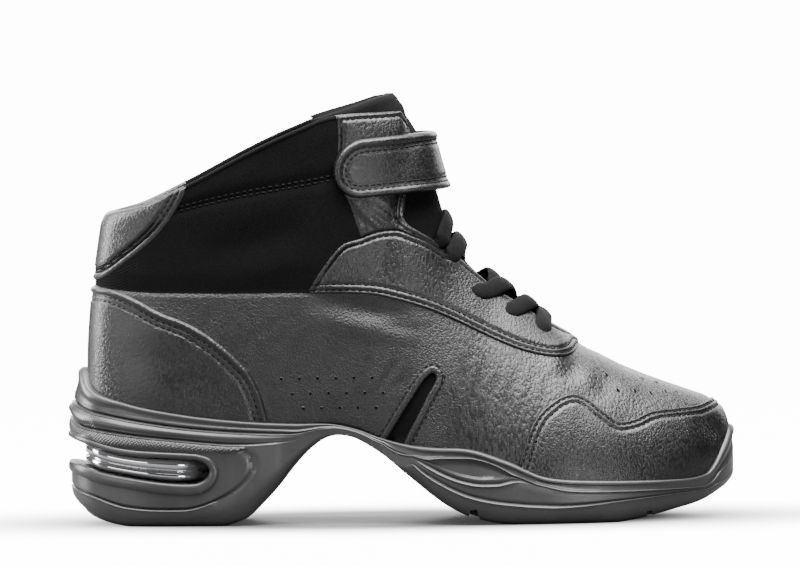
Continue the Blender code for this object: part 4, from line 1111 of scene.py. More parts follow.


# Near-black finish of the hole discs: painted shade standing in for the depth of each hole.
hole_painted_shade, _, _ = plain_finish("hole_painted_shade", 0.0015, 0.95, 0.05)
quarter_places = []
vamp_places = []
for side in (-1, 1):
    for first, height, count in HOLE_ROWS:
        for x in first + HOLE_PITCH * np.arange(count):
            quarter_places.append(on_side(x, height, side, HOLE_LIFT + quarter_step(x)))
    vamp_places += [on_side(x, z, side, HOLE_LIFT) for x, z in VAMP_HOLES]
punch("quarter_perforations", quarter_places, QUARTER_HOLE, upper_leather, "upper_leather")
punch("vamp_perforations", vamp_places, VAMP_HOLE, upper_leather, "upper_leather")


# Tongue
# Padded cloth tongue sewn in at the foot of the throat, lying under the laces and rising past the
# collar. It is two sheets of fabric over soft foam.
TongueRow = namedtuple("TongueRow", "x z tilt half")
TONGUE_ROWS = (
    TongueRow(213.5, 74.0, 1.1, 20),
    TongueRow(203, 82.6, 1.1, 22),
    TongueRow(190, 93.0, 1.1, 25),
    TongueRow(178, 103.0, 1.0, 28),
    TongueRow(168, 113.0, 0.9, 31),
    TongueRow(160.5, 124.5, 0.7, 34),
    TongueRow(156.5, 137.0, 0.5, 37),
    TongueRow(153, 150.0, 0.35, 40),
    TongueRow(149.5, 162.0, 0.28, 47),
    TongueRow(146.4, 171.5, 0.25, 55),
)
TONGUE_LINES = 46
TONGUE_STEPS = 44
TONGUE_RISE = 10.5
TONGUE_BOW = np.array((2.4, 0.0, 0.0))
TONGUE_WALL = 4.0
TONGUE_STANDOFF = 3.3
TONGUE_EDGE_ROUND = 2.4
TONGUE_PASSES_ACROSS = 12
TONGUE_PASSES_UP = 6
CREST_ROWS = 8
CREST_TURN = 0.85
CREST_MIDDLE = 1.2
CREST_SLOPE = 0.3
SWELL = 3.2
SWELL_HALF_WIDTH = 0.45
SWELL_RISE = (112.0, 122.0)
SWELL_FALL = (170.0, 156.0)
HEM_INSET = 6.0
HEM_SINK = 0.5
HEM_HALF_WIDTH = 1.2
HEM_END = 3.0


def ramp(x, start, end):
    """Share that goes from nought at a start to one at an end, at stations x."""
    return np.clip((x - start) / (end - start), 0, 1)


def drawn_out(rows, count):
    """Rows of a short table drawn out to a count along a smooth curve."""
    rows = np.array(rows, dtype=float)
    return through(rows, np.arange(len(rows)), np.linspace(0, len(rows) - 1, count))


def grid_normal(grid):
    """Normals of a grid of points."""
    return unit(np.cross(np.gradient(grid, axis=0), np.gradient(grid, axis=1)))


def relax(grid, passes, axis):
    """Even out a grid of points along one axis, leaving its end points alone."""
    points = np.moveaxis(grid.copy(), axis, 0)
    for _ in range(passes):
        points[1:-1] = 0.5 * points[1:-1] + 0.25 * (points[:-2] + points[2:])
    return np.moveaxis(points, 0, axis)


def pillow(name, grid, normal, front, back, materials):
    """Closed padded sheet about a grid, with its heights in front of it and behind it."""
    outer = grid + front[..., None] * normal
    inner = grid - back[..., None] * normal
    return skin(name, [(outer, False), (inner[:, ::-1], False)], materials)


def border_of(grid):
    """Distance of each point of a grid to the grid's own border."""
    return edge_distance(grid, (grid[0], grid[-1], grid[:, 0], grid[:, -1]))


tongue_grid = []
for x, z, tilt, half in drawn_out(TONGUE_ROWS, TONGUE_LINES):
    path = SHELL.cut(x, z, tilt)
    ridge = travelled(path)[len(path) // 2]
    tongue_grid.append(trace(path, ridge - half, ridge + half, TONGUE_STEPS + 1))
tongue_grid = relax(np.array(tongue_grid)[:, ::-1], TONGUE_PASSES_ACROSS, 1)
tongue_grid = relax(tongue_grid, TONGUE_PASSES_UP, 0)
tongue_grid = tongue_grid - (TONGUE_STANDOFF + 0.5 * TONGUE_WALL) * grid_normal(tongue_grid)
lean = unit((tongue_grid[-1] - tongue_grid[-3]).mean(axis=0))
across = np.linspace(-1, 1, TONGUE_STEPS + 1)[None]
crown = TONGUE_RISE * (CREST_MIDDLE - CREST_SLOPE * np.abs(across))[..., None]
steps = np.linspace(0, 1, CREST_ROWS)[1:]
bows = np.sin(CREST_TURN * math.pi * steps)
crest = [tongue_grid[-1:] + step * crown * lean + bow * TONGUE_BOW for step, bow in zip(steps, bows)]
tongue_grid = np.vstack([tongue_grid] + crest)
tongue_border = border_of(tongue_grid)
puff = 0.5 * TONGUE_WALL * soft_step(tongue_border, TONGUE_EDGE_ROUND)
high_part = ramp(tongue_grid[..., 2], *SWELL_RISE) * ramp(tongue_grid[..., 2], *SWELL_FALL)
swollen = SWELL * high_part * np.exp(-(across / SWELL_HALF_WIDTH) ** 2)
top_gap = edge_distance(tongue_grid, (tongue_grid[-1],))
hem = np.exp(-((top_gap - HEM_INSET) / HEM_HALF_WIDTH) ** 2)
puff = puff - HEM_SINK * hem * soft_step(tongue_border, HEM_END)
tongue_fabric = cloth("tongue_fabric", 1.3, 0.2, 0.005)
tongue_normal = grid_normal(tongue_grid)
tongue = pillow("padded_tongue", tongue_grid, tongue_normal, puff + swollen, puff, [tongue_fabric])
hold(tongue, "tongue_fabric", "tongue")


# Insole
# Loose foam foot bed with a cloth top, cut to the bottom of the last. It is laid inside the upper on
# the floor of the sole, and nothing holds it there.
INSOLE_WALL = 3.5
INSOLE_EASE = 2.6
INSOLE_SECTION = (
    (1.0, 0.0), (0.03, 0.0), (0.0, 0.3), (0.0, 0.75), (0.03, 1.0), (0.3, 1.0), (0.65, 1.0), (1.0, 1.0),
)
CENTRE_DRAW = Line((9.8, 47, 236, 274.5), (34, 54, 232, 252))


def centre_line(x):
    """Middle of the foot bed at stations x, drawn in from the heel and toe ends."""
    drawn = np.interp(x, CENTRE_DRAW.x, CENTRE_DRAW.z)
    outer = np.interp(drawn, FOOT_LATERAL[:, 0], FOOT_LATERAL[:, 1])
    inner = np.interp(drawn, FOOT_MEDIAL[:, 0], FOOT_MEDIAL[:, 1])
    return np.column_stack((drawn, (outer + inner) / 2))


insole_edge = SHELL.plan - SHELL.out[:, :2] * INSOLE_EASE
insole_middle = centre_line(SHELL.plan[:, 0])
insole_rows = []
for share, height in INSOLE_SECTION:
    plan = insole_edge + share * (insole_middle - insole_edge)
    bed = along(FOOT_BED, plan[:, 0]) + PIECE_GAP + height * INSOLE_WALL
    insole_rows.append(np.column_stack((plan, bed)))
sock_fabric = cloth("sock_fabric", 1.6, 0.25, 0.008)
insole = skin("foot_bed", [(np.stack(insole_rows, axis=1), True)], [sock_fabric])
hold(insole, "sock_fabric", "insole")


# Sole
# One moulding of black rubber cemented round the upper: a cup with waved ribs, a heel window that
# runs right round the back, an arched waist and a tread with two flex notches.
RIM_WALL = 2.2
HEEL_RIM_EXTRA = 1.8
FULL_RELIEF_HEIGHT = 16.0
LEAST_RELIEF = 0.25
FLARE_SHARE = 0.35
CUP_SHARES = (1.0, 0.75, 0.45)
TREAD_EDGE_INSET = 6.0
UNDERSIDE = Line(
    (-1, 2, 5, 9, 14, 20, 26, 64, 70, 76, 82, 88, 95, 101, 107, 113, 119, 126, 133, 139, 145,
     152, 158, 164, 171, 179, 186, 228, 236, 244, 254, 264, 272, 277, 281),
    (14, 9.6, 6.8, 4.4, 2.4, 0.8, 0, 0, 1.4, 4.2, 9.8, 16.2, 25, 31.5, 36, 37.6, 36.6, 33, 28.2, 23,
     18, 12.2, 8, 4.8, 2.4, 0.6, 0, 0, 1.0, 2.6, 4.8, 7.2, 10.4, 13.4, 18),
)
SLOT_TOP = Line((-8, 3, 9, 16, 26, 36, 48, 54), (39, 36, 34, 31.8, 30, 29.2, 28.5, 28))
SLOT_FLOOR = Line((-8, 3, 13, 26, 40, 50, 54), (29, 26.4, 23, 20.6, 18.6, 18, 18.2))
SLOT_TURN = ((54, 28), (57.4, 26.2), (59.0, 23.2), (57.4, 20.2), (54, 18.2))
SLOT_POINTS = 40
SLOT_TURN_POINTS = 25
REAR_GROOVE = ((166.6, -4), (167.6, 6.2), (170.4, 6.6), (173.4, -4))
FRONT_GROOVE = ((241.0, -4), (241.6, 4.6), (243.6, 4.8), (244.6, -4))
ACROSS = 60.0
NOTCH_INSIDE = 26.0
SHARP_ANGLE = 42.0
HATCH_TOP = (1.2, 1.7)
HATCH_FOOT = (0.0, 0.6)
HATCH_END = (78.0, 73.0)
TREAD_PITCH = 6.0
TREAD_DEPTH = 0.9
TREAD_LIMIT = 2.0
TREAD_RIB_FLAT = 2.2
TREAD_ROWS = np.linspace(0, 0.94, 12)
TREAD_EDGE_ROWS = (0.06, 0.15, 0.25, 0.35, 0.5, 0.65, 0.85)
BAND_SWELL = 0.9
BAND_WIDTHS = Line((5, 19, 36, 55, 70, 78), (8.0, 6.5, 5.3, 4.7, 3.5, 0.5))
BAND_SPAN = 9.0
BAND_END = (79.0, 70.0)
BAND_FULLNESS = 0.7
RIB_STATIONS = (144, 149, 157, 166, 173, 179, 186, 191, 198, 206, 215, 229, 247, 264)
FORE_RIBS = {
    "high": (29.4, 28.6, 28.9, 28.8, 27.5, 25.3, 21.8, 19.3, 17.2, 15.4, 14.4, 13.9, 13.7, 13.6),
    "mid": (28.0, 25.6, 21.5, 18.4, 17.4, 17.5, 18.7, 17.8, 13.4, 11.7, 11.4, 11.7, 12.4, 13.0),
    "low": (25.8, 22.0, 17.2, 13.1, 11.2, 10.1, 9.3, 8.8, 8.4, 8.1, 8.4, 9.6, 11.1, 12.4),
}
FORE_START = (132.0, 144.0)
FORE_END = (272.0, 264.0)
WAIST = 120.0
LEAF_START = (142.0, 147.0)
LEAF_TIP = (192.0, 188.0)
LEAF_OPENING = (0.8, 3.3)
UNDER_RIM = 0.6
TEARDROP_START = (70.0, 62.0)
TEARDROP_END = (
    (62.0, 0, 10.6), (67.5, 0, 13.6), (72.0, 0, 17.0), (75.4, 0, 20.6), (77.2, 0, 24.6), (76.6, 0, 28.6),
    (73.6, 0, 31.6),
)
TEARDROP_DEPTH = 0.9
CUP = Last(9)

side = CUP.sole
plan = CUP.plan
out = CUP.out
below_rim = CUP.fine_wall[:, :, 2] <= side.rim[:, None]
reach = ((CUP.fine_wall - CUP.foot[:, None]) * out[:, None]).sum(axis=2)
rim_out = np.where(below_rim, reach, 0.0).max(axis=1) + CUP_GAP + RIM_WALL
outer = rim_out + side.flare
station = plan[:, 0]
side_x = station + out[:, 0] * outer
sole_floor = along(UNDERSIDE, side_x)
fore = ramp(side_x, *FORE_START) * ramp(side_x, *FORE_END)
for name, heights in FORE_RIBS.items():
    table = getattr(side, name)
    rib = along(Line(RIB_STATIONS, heights), side_x)
    side = side._replace(**{name: table + fore * (rib - table)})
leaf = ramp(side.high - side.mid, *LEAF_OPENING) * ramp(side_x, *LEAF_TIP)
leaf = 1 + fore * (leaf - 1)
begun = np.where(side_x > WAIST, ramp(side_x, *LEAF_START), 1.0)
cuts = {"cut_mid": side.cut_mid * leaf * begun, "cut_low": side.cut_low * begun}
side = side._replace(**cuts, swell=side.swell * leaf)
relief = np.clip((side.rim - sole_floor) / FULL_RELIEF_HEIGHT, LEAST_RELIEF, 1.0)
full = np.maximum(FLARE_SHARE * (side.rim - sole_floor), 1.0)


def ring(height, push):
    """Points of the sole's side at given heights, pushed out by a distance."""
    lean = np.clip((side.rim - height) / full, 0, 1)
    lean = lean * lean * (3 - 2 * lean)
    reach_out = rim_out + side.flare * lean + push
    return np.column_stack((plan + out[:, :2] * reach_out[:, None], height))


def underside(points):
    """Underside rows with the tread's ribs sunk into them, away from the edge."""
    base = along(UNDERSIDE, points[:, 0])
    ribs = np.clip(TREAD_RIB_FLAT * np.cos(2 * math.pi * points[:, 0] / TREAD_PITCH), -1, 1)
    sunk = 0.5 * TREAD_DEPTH * (1 + ribs) * np.clip(TREAD_LIMIT - base, 0, 1)
    return np.column_stack((points[:, :2], base + sunk))


inset = TREAD_EDGE_INSET * relief
tread = ring(sole_floor, -inset)
tread[:, 2] = along(UNDERSIDE, tread[:, 0])
middle = centre_line(station)
keel = np.column_stack((middle, along(UNDERSIDE, middle[:, 0])))
sole_rows = [underside(keel + share * (tread - keel)) for share in TREAD_ROWS]
sole_rows.append(tread)

# Heights and pushes of the side from the tread's edge to the rim, with the ribs between them. Each
# rib is a groove with a lip below it, sharp at the heel and wider and softer at the forefoot.
GROOVE_STEPS = (-1.6, -1.1, -0.7, -0.35, 0.0, 0.35, 0.7, 1.1, 1.6)
GROOVE_REACH = 1.6
GROOVE_DEPTH = 1.25
FORE_DEPTH_LESS = 0.55
GROOVE_SIZE = 0.75
FORE_SIZE_MORE = 0.3
GROOVE_SQUEEZE = 0.3
FORE_SQUEEZE_MORE = 0.12
GROOVE_SPREAD = 0.55
LIP_DROP = 1.0
LIP_SPREAD = 0.5
HEEL_BACK = (24.0, 12.0)
TOE_TURN = (262.0, 270.0)
LIP_SHARES = Line((90, 150), (0.4, 0.75))
WALL_ROWS = np.linspace(0, 1, 20)[1:]
BAND_ROWS = np.linspace(0, 1, 14)[1:-1]
RIB_ROWS = np.linspace(0, 1, 8)[1:-1]
RIB_FULLNESS = 1.2
RECESS_FLATNESS = 8
RIM_ROWS = np.linspace(0, 1, 7)[1:]
HEEL_WALL_FOOT = 0.3
RIM_BEND = 1.4
RIM_HOLLOW = 0.5
RIM_SPREAD = 0.35
RIM_EDGE = ((-1.0, 0.42), (-0.5, 0.3), (-0.15, -0.1), (0.0, -0.7))
TEARDROP_POINTS = 50
groove_depth = GROOVE_DEPTH - FORE_DEPTH_LESS * fore
groove_reach = GROOVE_REACH * ((GROOVE_SIZE + FORE_SIZE_MORE * fore) * relief)
squeeze = GROOVE_SQUEEZE + FORE_SQUEEZE_MORE * fore
gap_low = np.minimum(groove_reach, squeeze * (side.mid - side.low))
gap_mid = np.minimum(groove_reach, squeeze * np.minimum(side.mid - side.low, side.high - side.mid))
gap_high = np.minimum(groove_reach, squeeze * np.minimum(side.high - side.mid, side.rim - side.high))
teardrop_fade = np.where(station < WAIST, ramp(station, *TEARDROP_START), 1.0)
lip_share = np.interp(station, LIP_SHARES.x, LIP_SHARES.z)
heel_wall = HEEL_RIM_EXTRA * ramp(station, *HEEL_BACK)
bend = relief * (1 + ramp(station, *HEEL_BACK) + ramp(station, *TOE_TURN))
profile = []


def add_groove(height, depth, gap, above=0.0):
    """Rows of one moulded groove with a raised lip below it and a recess above it."""
    for step in GROOVE_STEPS:
        sunk = -groove_depth * depth * math.exp(-(step / GROOVE_SPREAD) ** 2)
        sunk = np.minimum(sunk, -above) if step > 0 else sunk
        ridge = lip_share * depth * math.exp(-((step + LIP_DROP) / LIP_SPREAD) ** 2)
        profile.append((height + step / GROOVE_REACH * gap, sunk + ridge))


start = 0.5 * (sole_floor + tread[:, 2])
for share in TREAD_EDGE_ROWS:
    height = start + share * (side.low - gap_low - start)
    profile.append((height, -inset * (1 - math.sqrt(1 - (1 - share) ** 2))))
add_groove(side.low, side.cut_low * teardrop_fade, gap_low)
span = side.mid - gap_mid - side.low - gap_low
band_span = np.minimum(BAND_SPAN, 0.5 * span)
for share in WALL_ROWS:
    profile.append((side.low + gap_low + share * (span - band_span), 0.0))
band = np.interp(station, BAND_WIDTHS.x, BAND_WIDTHS.z)
band_swell = BAND_SWELL * ramp(station, *BAND_END)
for share in BAND_ROWS:
    drop = gap_mid + (1 - share) * band_span
    bulge = np.clip((drop - gap_mid) / np.maximum(band - gap_mid, 0.1), 0, 1)
    profile.append((side.mid - drop, band_swell * np.sin(math.pi * bulge) ** BAND_FULLNESS))
add_groove(side.mid, side.cut_mid, gap_mid)
for share in RIB_ROWS:
    height = side.mid + gap_mid + share * (side.high - gap_high - side.mid - gap_mid)
    round_band = np.clip(side.swell, 0, None) * math.sin(math.pi * share)
    flat_recess = np.clip(side.swell, None, 0) * (1 - (2 * share - 1) ** RECESS_FLATNESS)
    profile.append((height, RIB_FULLNESS * round_band + flat_recess))
under_rim = UNDER_RIM * relief * fore
add_groove(side.high, side.cut_high, gap_high, under_rim)
for share in RIM_ROWS:
    height = side.high + gap_high + share * (side.rim - RIM_BEND * bend - side.high - gap_high)
    hollow = -RIM_HOLLOW * math.sin(math.pi * share) * (1 - fore) + RIM_SPREAD * share
    hollow = hollow * relief - under_rim * (1 - share ** 3)
    profile.append((height, hollow + heel_wall * (HEEL_WALL_FOOT + (1 - HEEL_WALL_FOOT) * share)))
for height, push in RIM_EDGE:
    curl = (bend - relief) * (1 + height) ** 2
    profile.append((side.rim + height * bend, push * relief + heel_wall - curl))
teardrop = drawn_out(TEARDROP_END, TEARDROP_POINTS)
for height, push in profile:
    points = ring(height, push)
    gap = edge_distance(points[:, None] * (1, 0, 1), (teardrop,))
    sole_rows.append(points - out * TEARDROP_DEPTH * np.exp(-gap ** 2))

inside = CUP.rim_share[:, None] * np.array(CUP_SHARES)
cup = CUP.offset(inside, CUP_GAP)
cup[:, 0, 2] = side.rim
seat = np.column_stack((plan + out[:, :2] * CUP_GAP, along(FOOT_BED, plan[:, 0])))
bed = np.column_stack((middle, along(FOOT_BED, middle[:, 0])))
sole_rows += [cup[:, 0], cup[:, 1], cup[:, 2], seat, bed]


def make_moulded_skin():
    """Rubber: the mould's fine matt texture with slow clouds of dust and handling."""
    sizes = (("Speckle", "NodeSocketFloat", 1500.0), ("Hatch", "NodeSocketFloat", 0.0))
    tree, size, out_sockets = relief_group("moulded_skin", sizes)
    place = add_node(tree, "ShaderNodeTexCoord").outputs["Object"]
    axis = add_node(tree, "ShaderNodeSeparateXYZ", {"Vector": place}).outputs
    flat = maths(tree, "ADD", axis["X"], maths(tree, "MULTIPLY", axis["Y"], -1.0))
    weave = []
    for slope, rate in ((1.0, 4600.0), (-1.6, 2600.0)):
        lean = maths(tree, "ADD", flat, maths(tree, "MULTIPLY", axis["Z"], slope))
        weave.append(maths(tree, "SINE", maths(tree, "MULTIPLY", lean, rate)))
    hatch = maths(tree, "MULTIPLY", maths(tree, "MAXIMUM", weave[0], weave[1]), size["Hatch"])
    speckle = noise(tree, place, size["Speckle"], 3.0)
    fine = maths(tree, "MULTIPLY", speckle, 0.35)
    height = maths(tree, "ADD", fine, maths(tree, "MULTIPLY", hatch, 1.4))
    tree.links.new(height, out_sockets["Height"])
    tree.links.new(noise(tree, place, 28.0, 5.0), out_sockets["Tone"])
    return tree


def rubber():
    """Black moulded rubber with a satin skin, hatched where the sole's attribute says so."""
    dark = (0.026, 0.026, 0.0265)
    light = (0.047, 0.047, 0.0478)
    roughness = (0.3, 0.42)
    material, tree, shader = new_finish("sole_rubber", {"Specular IOR Level": 0.5})
    skin_relief = add_node(tree, "ShaderNodeGroup", node_tree=make_moulded_skin())
    band = add_node(tree, "ShaderNodeAttribute", attribute_name="hatch", attribute_type="GEOMETRY")
    tree.links.new(band.outputs["Fac"], skin_relief.inputs["Hatch"])
    dress(tree, shader, skin_relief, dark, light, roughness, 0.1)
    return material


def block(outline, near, far):
    """Closed cutter across the sole from an outline in the side view."""
    line = np.array([(x, 0.0, z) for x, z in outline])
    heart = np.tile(line.mean(axis=0), (len(line), 1))
    sides = ((heart, near), (line, near), (line, far), (heart, far))
    return np.stack([part + (0.0, y, 0.0) for part, y in sides], axis=1), True


turn_line = drawn_out(SLOT_TURN, SLOT_TURN_POINTS)
top_x = np.linspace(SLOT_TOP.x[0], SLOT_TOP.x[-1], SLOT_POINTS)[:-1]
floor_x = np.linspace(SLOT_FLOOR.x[-1], SLOT_FLOOR.x[0], SLOT_POINTS)[1:]
slot_outline = np.vstack((
    np.column_stack((top_x, along(SLOT_TOP, top_x))), turn_line,
    np.column_stack((floor_x, along(SLOT_FLOOR, floor_x))),
))
sole_rubber = rubber()
sole = skin("rubber_sole", [(np.stack(sole_rows, axis=1), True)], [sole_rubber])
notch_sides = ((-ACROSS, -NOTCH_INSIDE), (NOTCH_INSIDE, ACROSS))
cutters = [block(slot_outline, -ACROSS, ACROSS)]
cutters += [block(notch, *ends) for notch in (REAR_GROOVE, FRONT_GROOVE) for ends in notch_sides]
cutter = skin("cutter", cutters, [sole_rubber])
facing_out = bmesh.new()
facing_out.from_mesh(cutter.data)
bmesh.ops.recalc_face_normals(facing_out, faces=facing_out.faces)
facing_out.to_mesh(cutter.data)
facing_out.free()
cut = sole.modifiers.new("window", "BOOLEAN")
cut.object = cutter
cut.solver = "EXACT"
settle(sole)
bpy.data.objects.remove(cutter)
sole.data.set_sharp_from_angle(angle=math.radians(SHARP_ANGLE))
spots = np.zeros(len(sole.data.vertices) * 3)
sole.data.vertices.foreach_get("co", spots)
spots = spots.reshape(-1, 3) / MM + FOOTPRINT_MIDDLE
mid_line = np.interp(spots[:, 0], plan[:CUP.toe, 0], side.mid[:CUP.toe])
band_line = np.interp(spots[:, 0], plan[:CUP.toe, 0], band[:CUP.toe])
drop = mid_line - spots[:, 2]
hatch = ramp(drop, *HATCH_TOP) * ramp(band_line - drop, *HATCH_FOOT) * ramp(spots[:, 0], *HATCH_END)
layer = sole.data.attributes.new("hatch", "FLOAT", "POINT")
layer.data.foreach_set("value", hatch.astype(np.float32))
hold(sole, "sole_rubber", "sole")

# Lips of the heel window, rounded beads of the same rubber along both of its edges.
LIP_POINTS = 460
LIP_END = 53.0
LIP_TOP_HALF = 1.3
LIP_FOOT_HALF = 2.4
LIP_HALF_HEIGHT = 1.2
LIP_HUB = 60.0
order = [c for c in range(-CUP.toe, CUP.toe) if side_x[c] < LIP_END]


def slot_edge(line):
    """Edge of the heel window round the back, medial side to lateral."""
    return ring(along(line, side_x), 0.0)[order]


def slot_turn(picked):
    """Round front end of the window on one side of the sole."""
    spots = []
    for x, z in turn_line:
        row = ring(np.full(CUP.count, z), 0.0)[picked]
        spots.append((x, np.interp(x, row[:, 0], row[:, 1]), z))
    return np.array(spots)[1:-1]


near_side = np.arange(CUP.toe + 1)
lip_parts = (
    (slot_edge(SLOT_TOP), LIP_TOP_HALF, LIP_TOP_HALF),
    (slot_turn(near_side), LIP_TOP_HALF, LIP_FOOT_HALF),
    (slot_edge(SLOT_FLOOR)[::-1], LIP_FOOT_HALF, LIP_FOOT_HALF),
    (slot_turn(CUP.mirror[near_side])[::-1], LIP_FOOT_HALF, LIP_TOP_HALF),
)
lip_path = np.vstack([part for part, _, _ in lip_parts])
lip_half = np.concatenate([np.linspace(first, last, len(part)) for part, first, last in lip_parts])
gone = travelled(lip_path)
lip_half = np.interp(np.linspace(0, gone[-1], LIP_POINTS), gone, lip_half)
lip_path = trace(lip_path, 0, gone[-1], LIP_POINTS)
hub = np.column_stack((np.full(LIP_POINTS, LIP_HUB), np.zeros(LIP_POINTS), lip_path[:, 2]))
lip_up = unit(lip_path - hub)
lip_run = unit(np.roll(lip_path, -1, axis=0) - np.roll(lip_path, 1, axis=0))
lip_path = lip_path - lip_half[:, None] * unit(np.cross(lip_run, lip_up))
lip_bead = sweep(lip_path, lip_up, lip_half, LIP_HALF_HEIGHT, True, 16)
lips = skin("window_lips", [(lip_bead, True)], [sole_rubber])
lips.data.attributes.new("hatch", "FLOAT", "POINT")
hold(lips, "sole_rubber")


# Heel cushion
# Air capsule of clear plastic over a silver bladder, two tiers high. It shows right round the back
# and is held in the heel window by the rubber above and below it.
CUSHION_INSET = 6.0
CUSHION_SIDE_END = 46.5
CUSHION_FRONT_DRAW = 0.82
CUSHION_FRONT_POINTS = 24
CUSHION_FRONT = 59.4
CUSHION_GAP = 0.6
CUSHION_TIERS = (
    (0.0, 0.7), (0.0, 0.4), (0.0, 0.08), (0.08, 0.02), (0.16, 0.004), (0.38, 0.01), (0.44, 0.05),
    (0.52, 0.05), (0.56, 0.004), (0.75, 0.008), (0.93, 0.012), (1.0, 0.06), (1.0, 0.4), (1.0, 0.7),
)
heel = [c for c in range(-CUP.toe, CUP.toe) if station[c] < CUSHION_SIDE_END]
flank = plan[heel] + out[heel, :2] * (outer[heel] - CUSHION_INSET)[:, None]
front_ends = flank[[-1, 0]] * (0, CUSHION_FRONT_DRAW) + (CUSHION_FRONT, 0)
front = np.linspace(front_ends[0], front_ends[1], CUSHION_FRONT_POINTS)
cushion_plan = np.vstack((flank, front))
heart = cushion_plan.mean(axis=0)
cushion_rows = []
for share, inset_share in CUSHION_TIERS:
    pulled = heart + (cushion_plan - heart) * (1 - inset_share)
    low = along(SLOT_FLOOR, pulled[:, 0]) + CUSHION_GAP
    high = along(SLOT_TOP, pulled[:, 0]) - CUSHION_GAP
    cushion_rows.append(np.column_stack((pulled, low + share * (high - low))))
base = np.tile(cushion_rows[0].mean(axis=0), (len(cushion_plan), 1))
crown = np.tile(cushion_rows[-1].mean(axis=0), (len(cushion_plan), 1))
silver = {"Base Color": (0.64, 0.64, 0.66, 1.0), "Metallic": 0.8, "Roughness": 0.12}
capsule, _, _ = new_finish("capsule", {**silver, "Coat Weight": 1.0, "Coat Roughness": 0.05})
cushion = skin("air_capsule", [(np.stack([base] + cushion_rows + [crown], axis=1), True)], [capsule])
hold(cushion, "capsule", "heel_cushion")


# Laces
# One flat woven black lace, run in a straight bar at the foot of the throat and crossed above it.
# Each crossing starts in an eyelet and dips under the far edge of the throat.
Eyelet = namedtuple("Eyelet", "station down throat")
EYELETS = (
    Eyelet(191.5, 21.0, 9.0),
    Eyelet(173.5, 24.0, 10.0),
    Eyelet(159.0, 27.0, 11.0),
    Eyelet(153.0, 25.0, 12.0),
    Eyelet(149.0, 26.5, 12.0),
)
LACE_BAR = Eyelet(194.5, 23.0, 9.0)
LACE_STEPS = 44
LACE_HALF_WIDTH = 4.0
LACE_HALF_HEIGHT = 1.4
LACE_SIDES = 18
LACE_LIFT = 1.2
LACE_START_DEPTH = 1.4
LACE_RISE_SHARE = 0.12
LACE_DIP_START = 0.62
LACE_UNDER = -2.0
LACE_LEAD = 0.5
CROSS_LIFT = 1.7
CROSS_PLACE = 0.45
CROSS_WIDTH = 0.16
Crossing = namedtuple("Crossing", "reach press")
CROSSINGS = (Crossing(0.0, 0.0), Crossing(7.0, 0.0), Crossing(0.0, 1.4), Crossing(0.0, 1.4))


def over_throat(place, across):
    """Point of the last at a station, a signed distance across from the ridge."""
    columns = np.arange(SHELL.toe + 1)
    at = np.interp(place, SHELL.plan[columns, 0], columns)
    spots = []
    for column in (int(at), int(at) + 1):
        picked = column if across < 0 else SHELL.mirror[column]
        spots.append(trace(SHELL.fine_wall[picked, ::-1], abs(across), abs(across), 1)[0])
    return spots[0] + (at - int(at)) * (spots[1] - spots[0])


def lace_run(start, end, from_side, cross, sink):
    """Grid of a lace from an eyelet on one side over the throat to the far side."""
    begin = np.array((start.station, from_side * start.down))
    finish = np.array((end.station, -from_side * (end.throat if sink else end.down)))
    path = []
    ups = []
    widths = []
    for share in np.linspace(0, 1, LACE_STEPS + 1):
        here = begin + np.array((share ** LACE_LEAD, share)) * (finish - begin)
        spot = over_throat(*here)
        forward = over_throat(here[0] + 1.0, here[1]) - over_throat(here[0] - 1.0, here[1])
        step = over_throat(here[0], here[1] + 0.5) - over_throat(here[0], here[1] - 0.5)
        normal = unit(np.cross(forward, step))
        ends = share if sink else min(share, 1 - share)
        rise = np.clip(ends / LACE_RISE_SHARE, 0, 1)
        lift = -LACE_START_DEPTH + (LACE_LIFT + LACE_START_DEPTH) * math.sin(0.5 * math.pi * rise)
        lift += cross * math.exp(-((share - CROSS_PLACE) / CROSS_WIDTH) ** 2)
        dip = ramp(share, LACE_DIP_START, 1.0) if sink else 0.0
        lift += dip * dip * (3 - 2 * dip) * (LACE_UNDER - LACE_LIFT)
        path.append(spot + lift * normal)
        ups.append(normal)
        widths.append(0.5 + 0.5 * rise)
    path = relax(np.array(path), 3, 0)
    widths = np.array(widths)
    return sweep(path, np.array(ups), LACE_HALF_WIDTH * widths, LACE_HALF_HEIGHT, False, LACE_SIDES)


def lace_finish():
    """Woven polyester: two sets of threads crossing on the slant, along the lace's own UV."""
    black = {"Base Color": (0.0028, 0.0028, 0.003, 1.0), "Roughness": 0.72, "Specular IOR Level": 0.11}
    material, tree, shader = new_finish("lace_fabric", black)
    place = add_node(tree, "ShaderNodeUVMap", uv_map="UVMap").outputs["UV"]
    axis = add_node(tree, "ShaderNodeSeparateXYZ", {"Vector": place}).outputs
    slant = maths(tree, "MULTIPLY", axis["Y"], 5.2)
    length = maths(tree, "MULTIPLY", axis["X"], 7.0)
    first = maths(tree, "SINE", maths(tree, "ADD", length, slant))
    second = maths(tree, "SINE", maths(tree, "SUBTRACT", length, slant))
    weave = maths(tree, "MAXIMUM", first, second)
    bump = add_node(tree, "ShaderNodeBump", {"Height": weave, "Strength": 1.0, "Distance": 0.09 * MM})
    tree.links.new(bump.outputs["Normal"], shader.inputs["Normal"])
    return material


lace_fabric = lace_finish()
bar = lace_run(LACE_BAR, LACE_BAR, -1, 0.0, False)
hold(skin("lace_bar_cord", [(bar, False)], [lace_fabric], measure=True), "lace_fabric", "lace_bar")
for number, (crossing, low, high) in enumerate(zip(CROSSINGS, EYELETS[:-1], EYELETS[1:]), start=1):
    ahead = low._replace(station=low.station + crossing.reach)
    over = lace_run(high, ahead, -1, CROSS_LIFT - crossing.press, True)
    under = lace_run(high, low, 1, -crossing.press, True)
    name = "lace_crossing_%d" % number
    cords = skin(name + "_cord", [(over, False), (under, False)], [lace_fabric], measure=True)
    hold(cords, "lace_fabric", name)


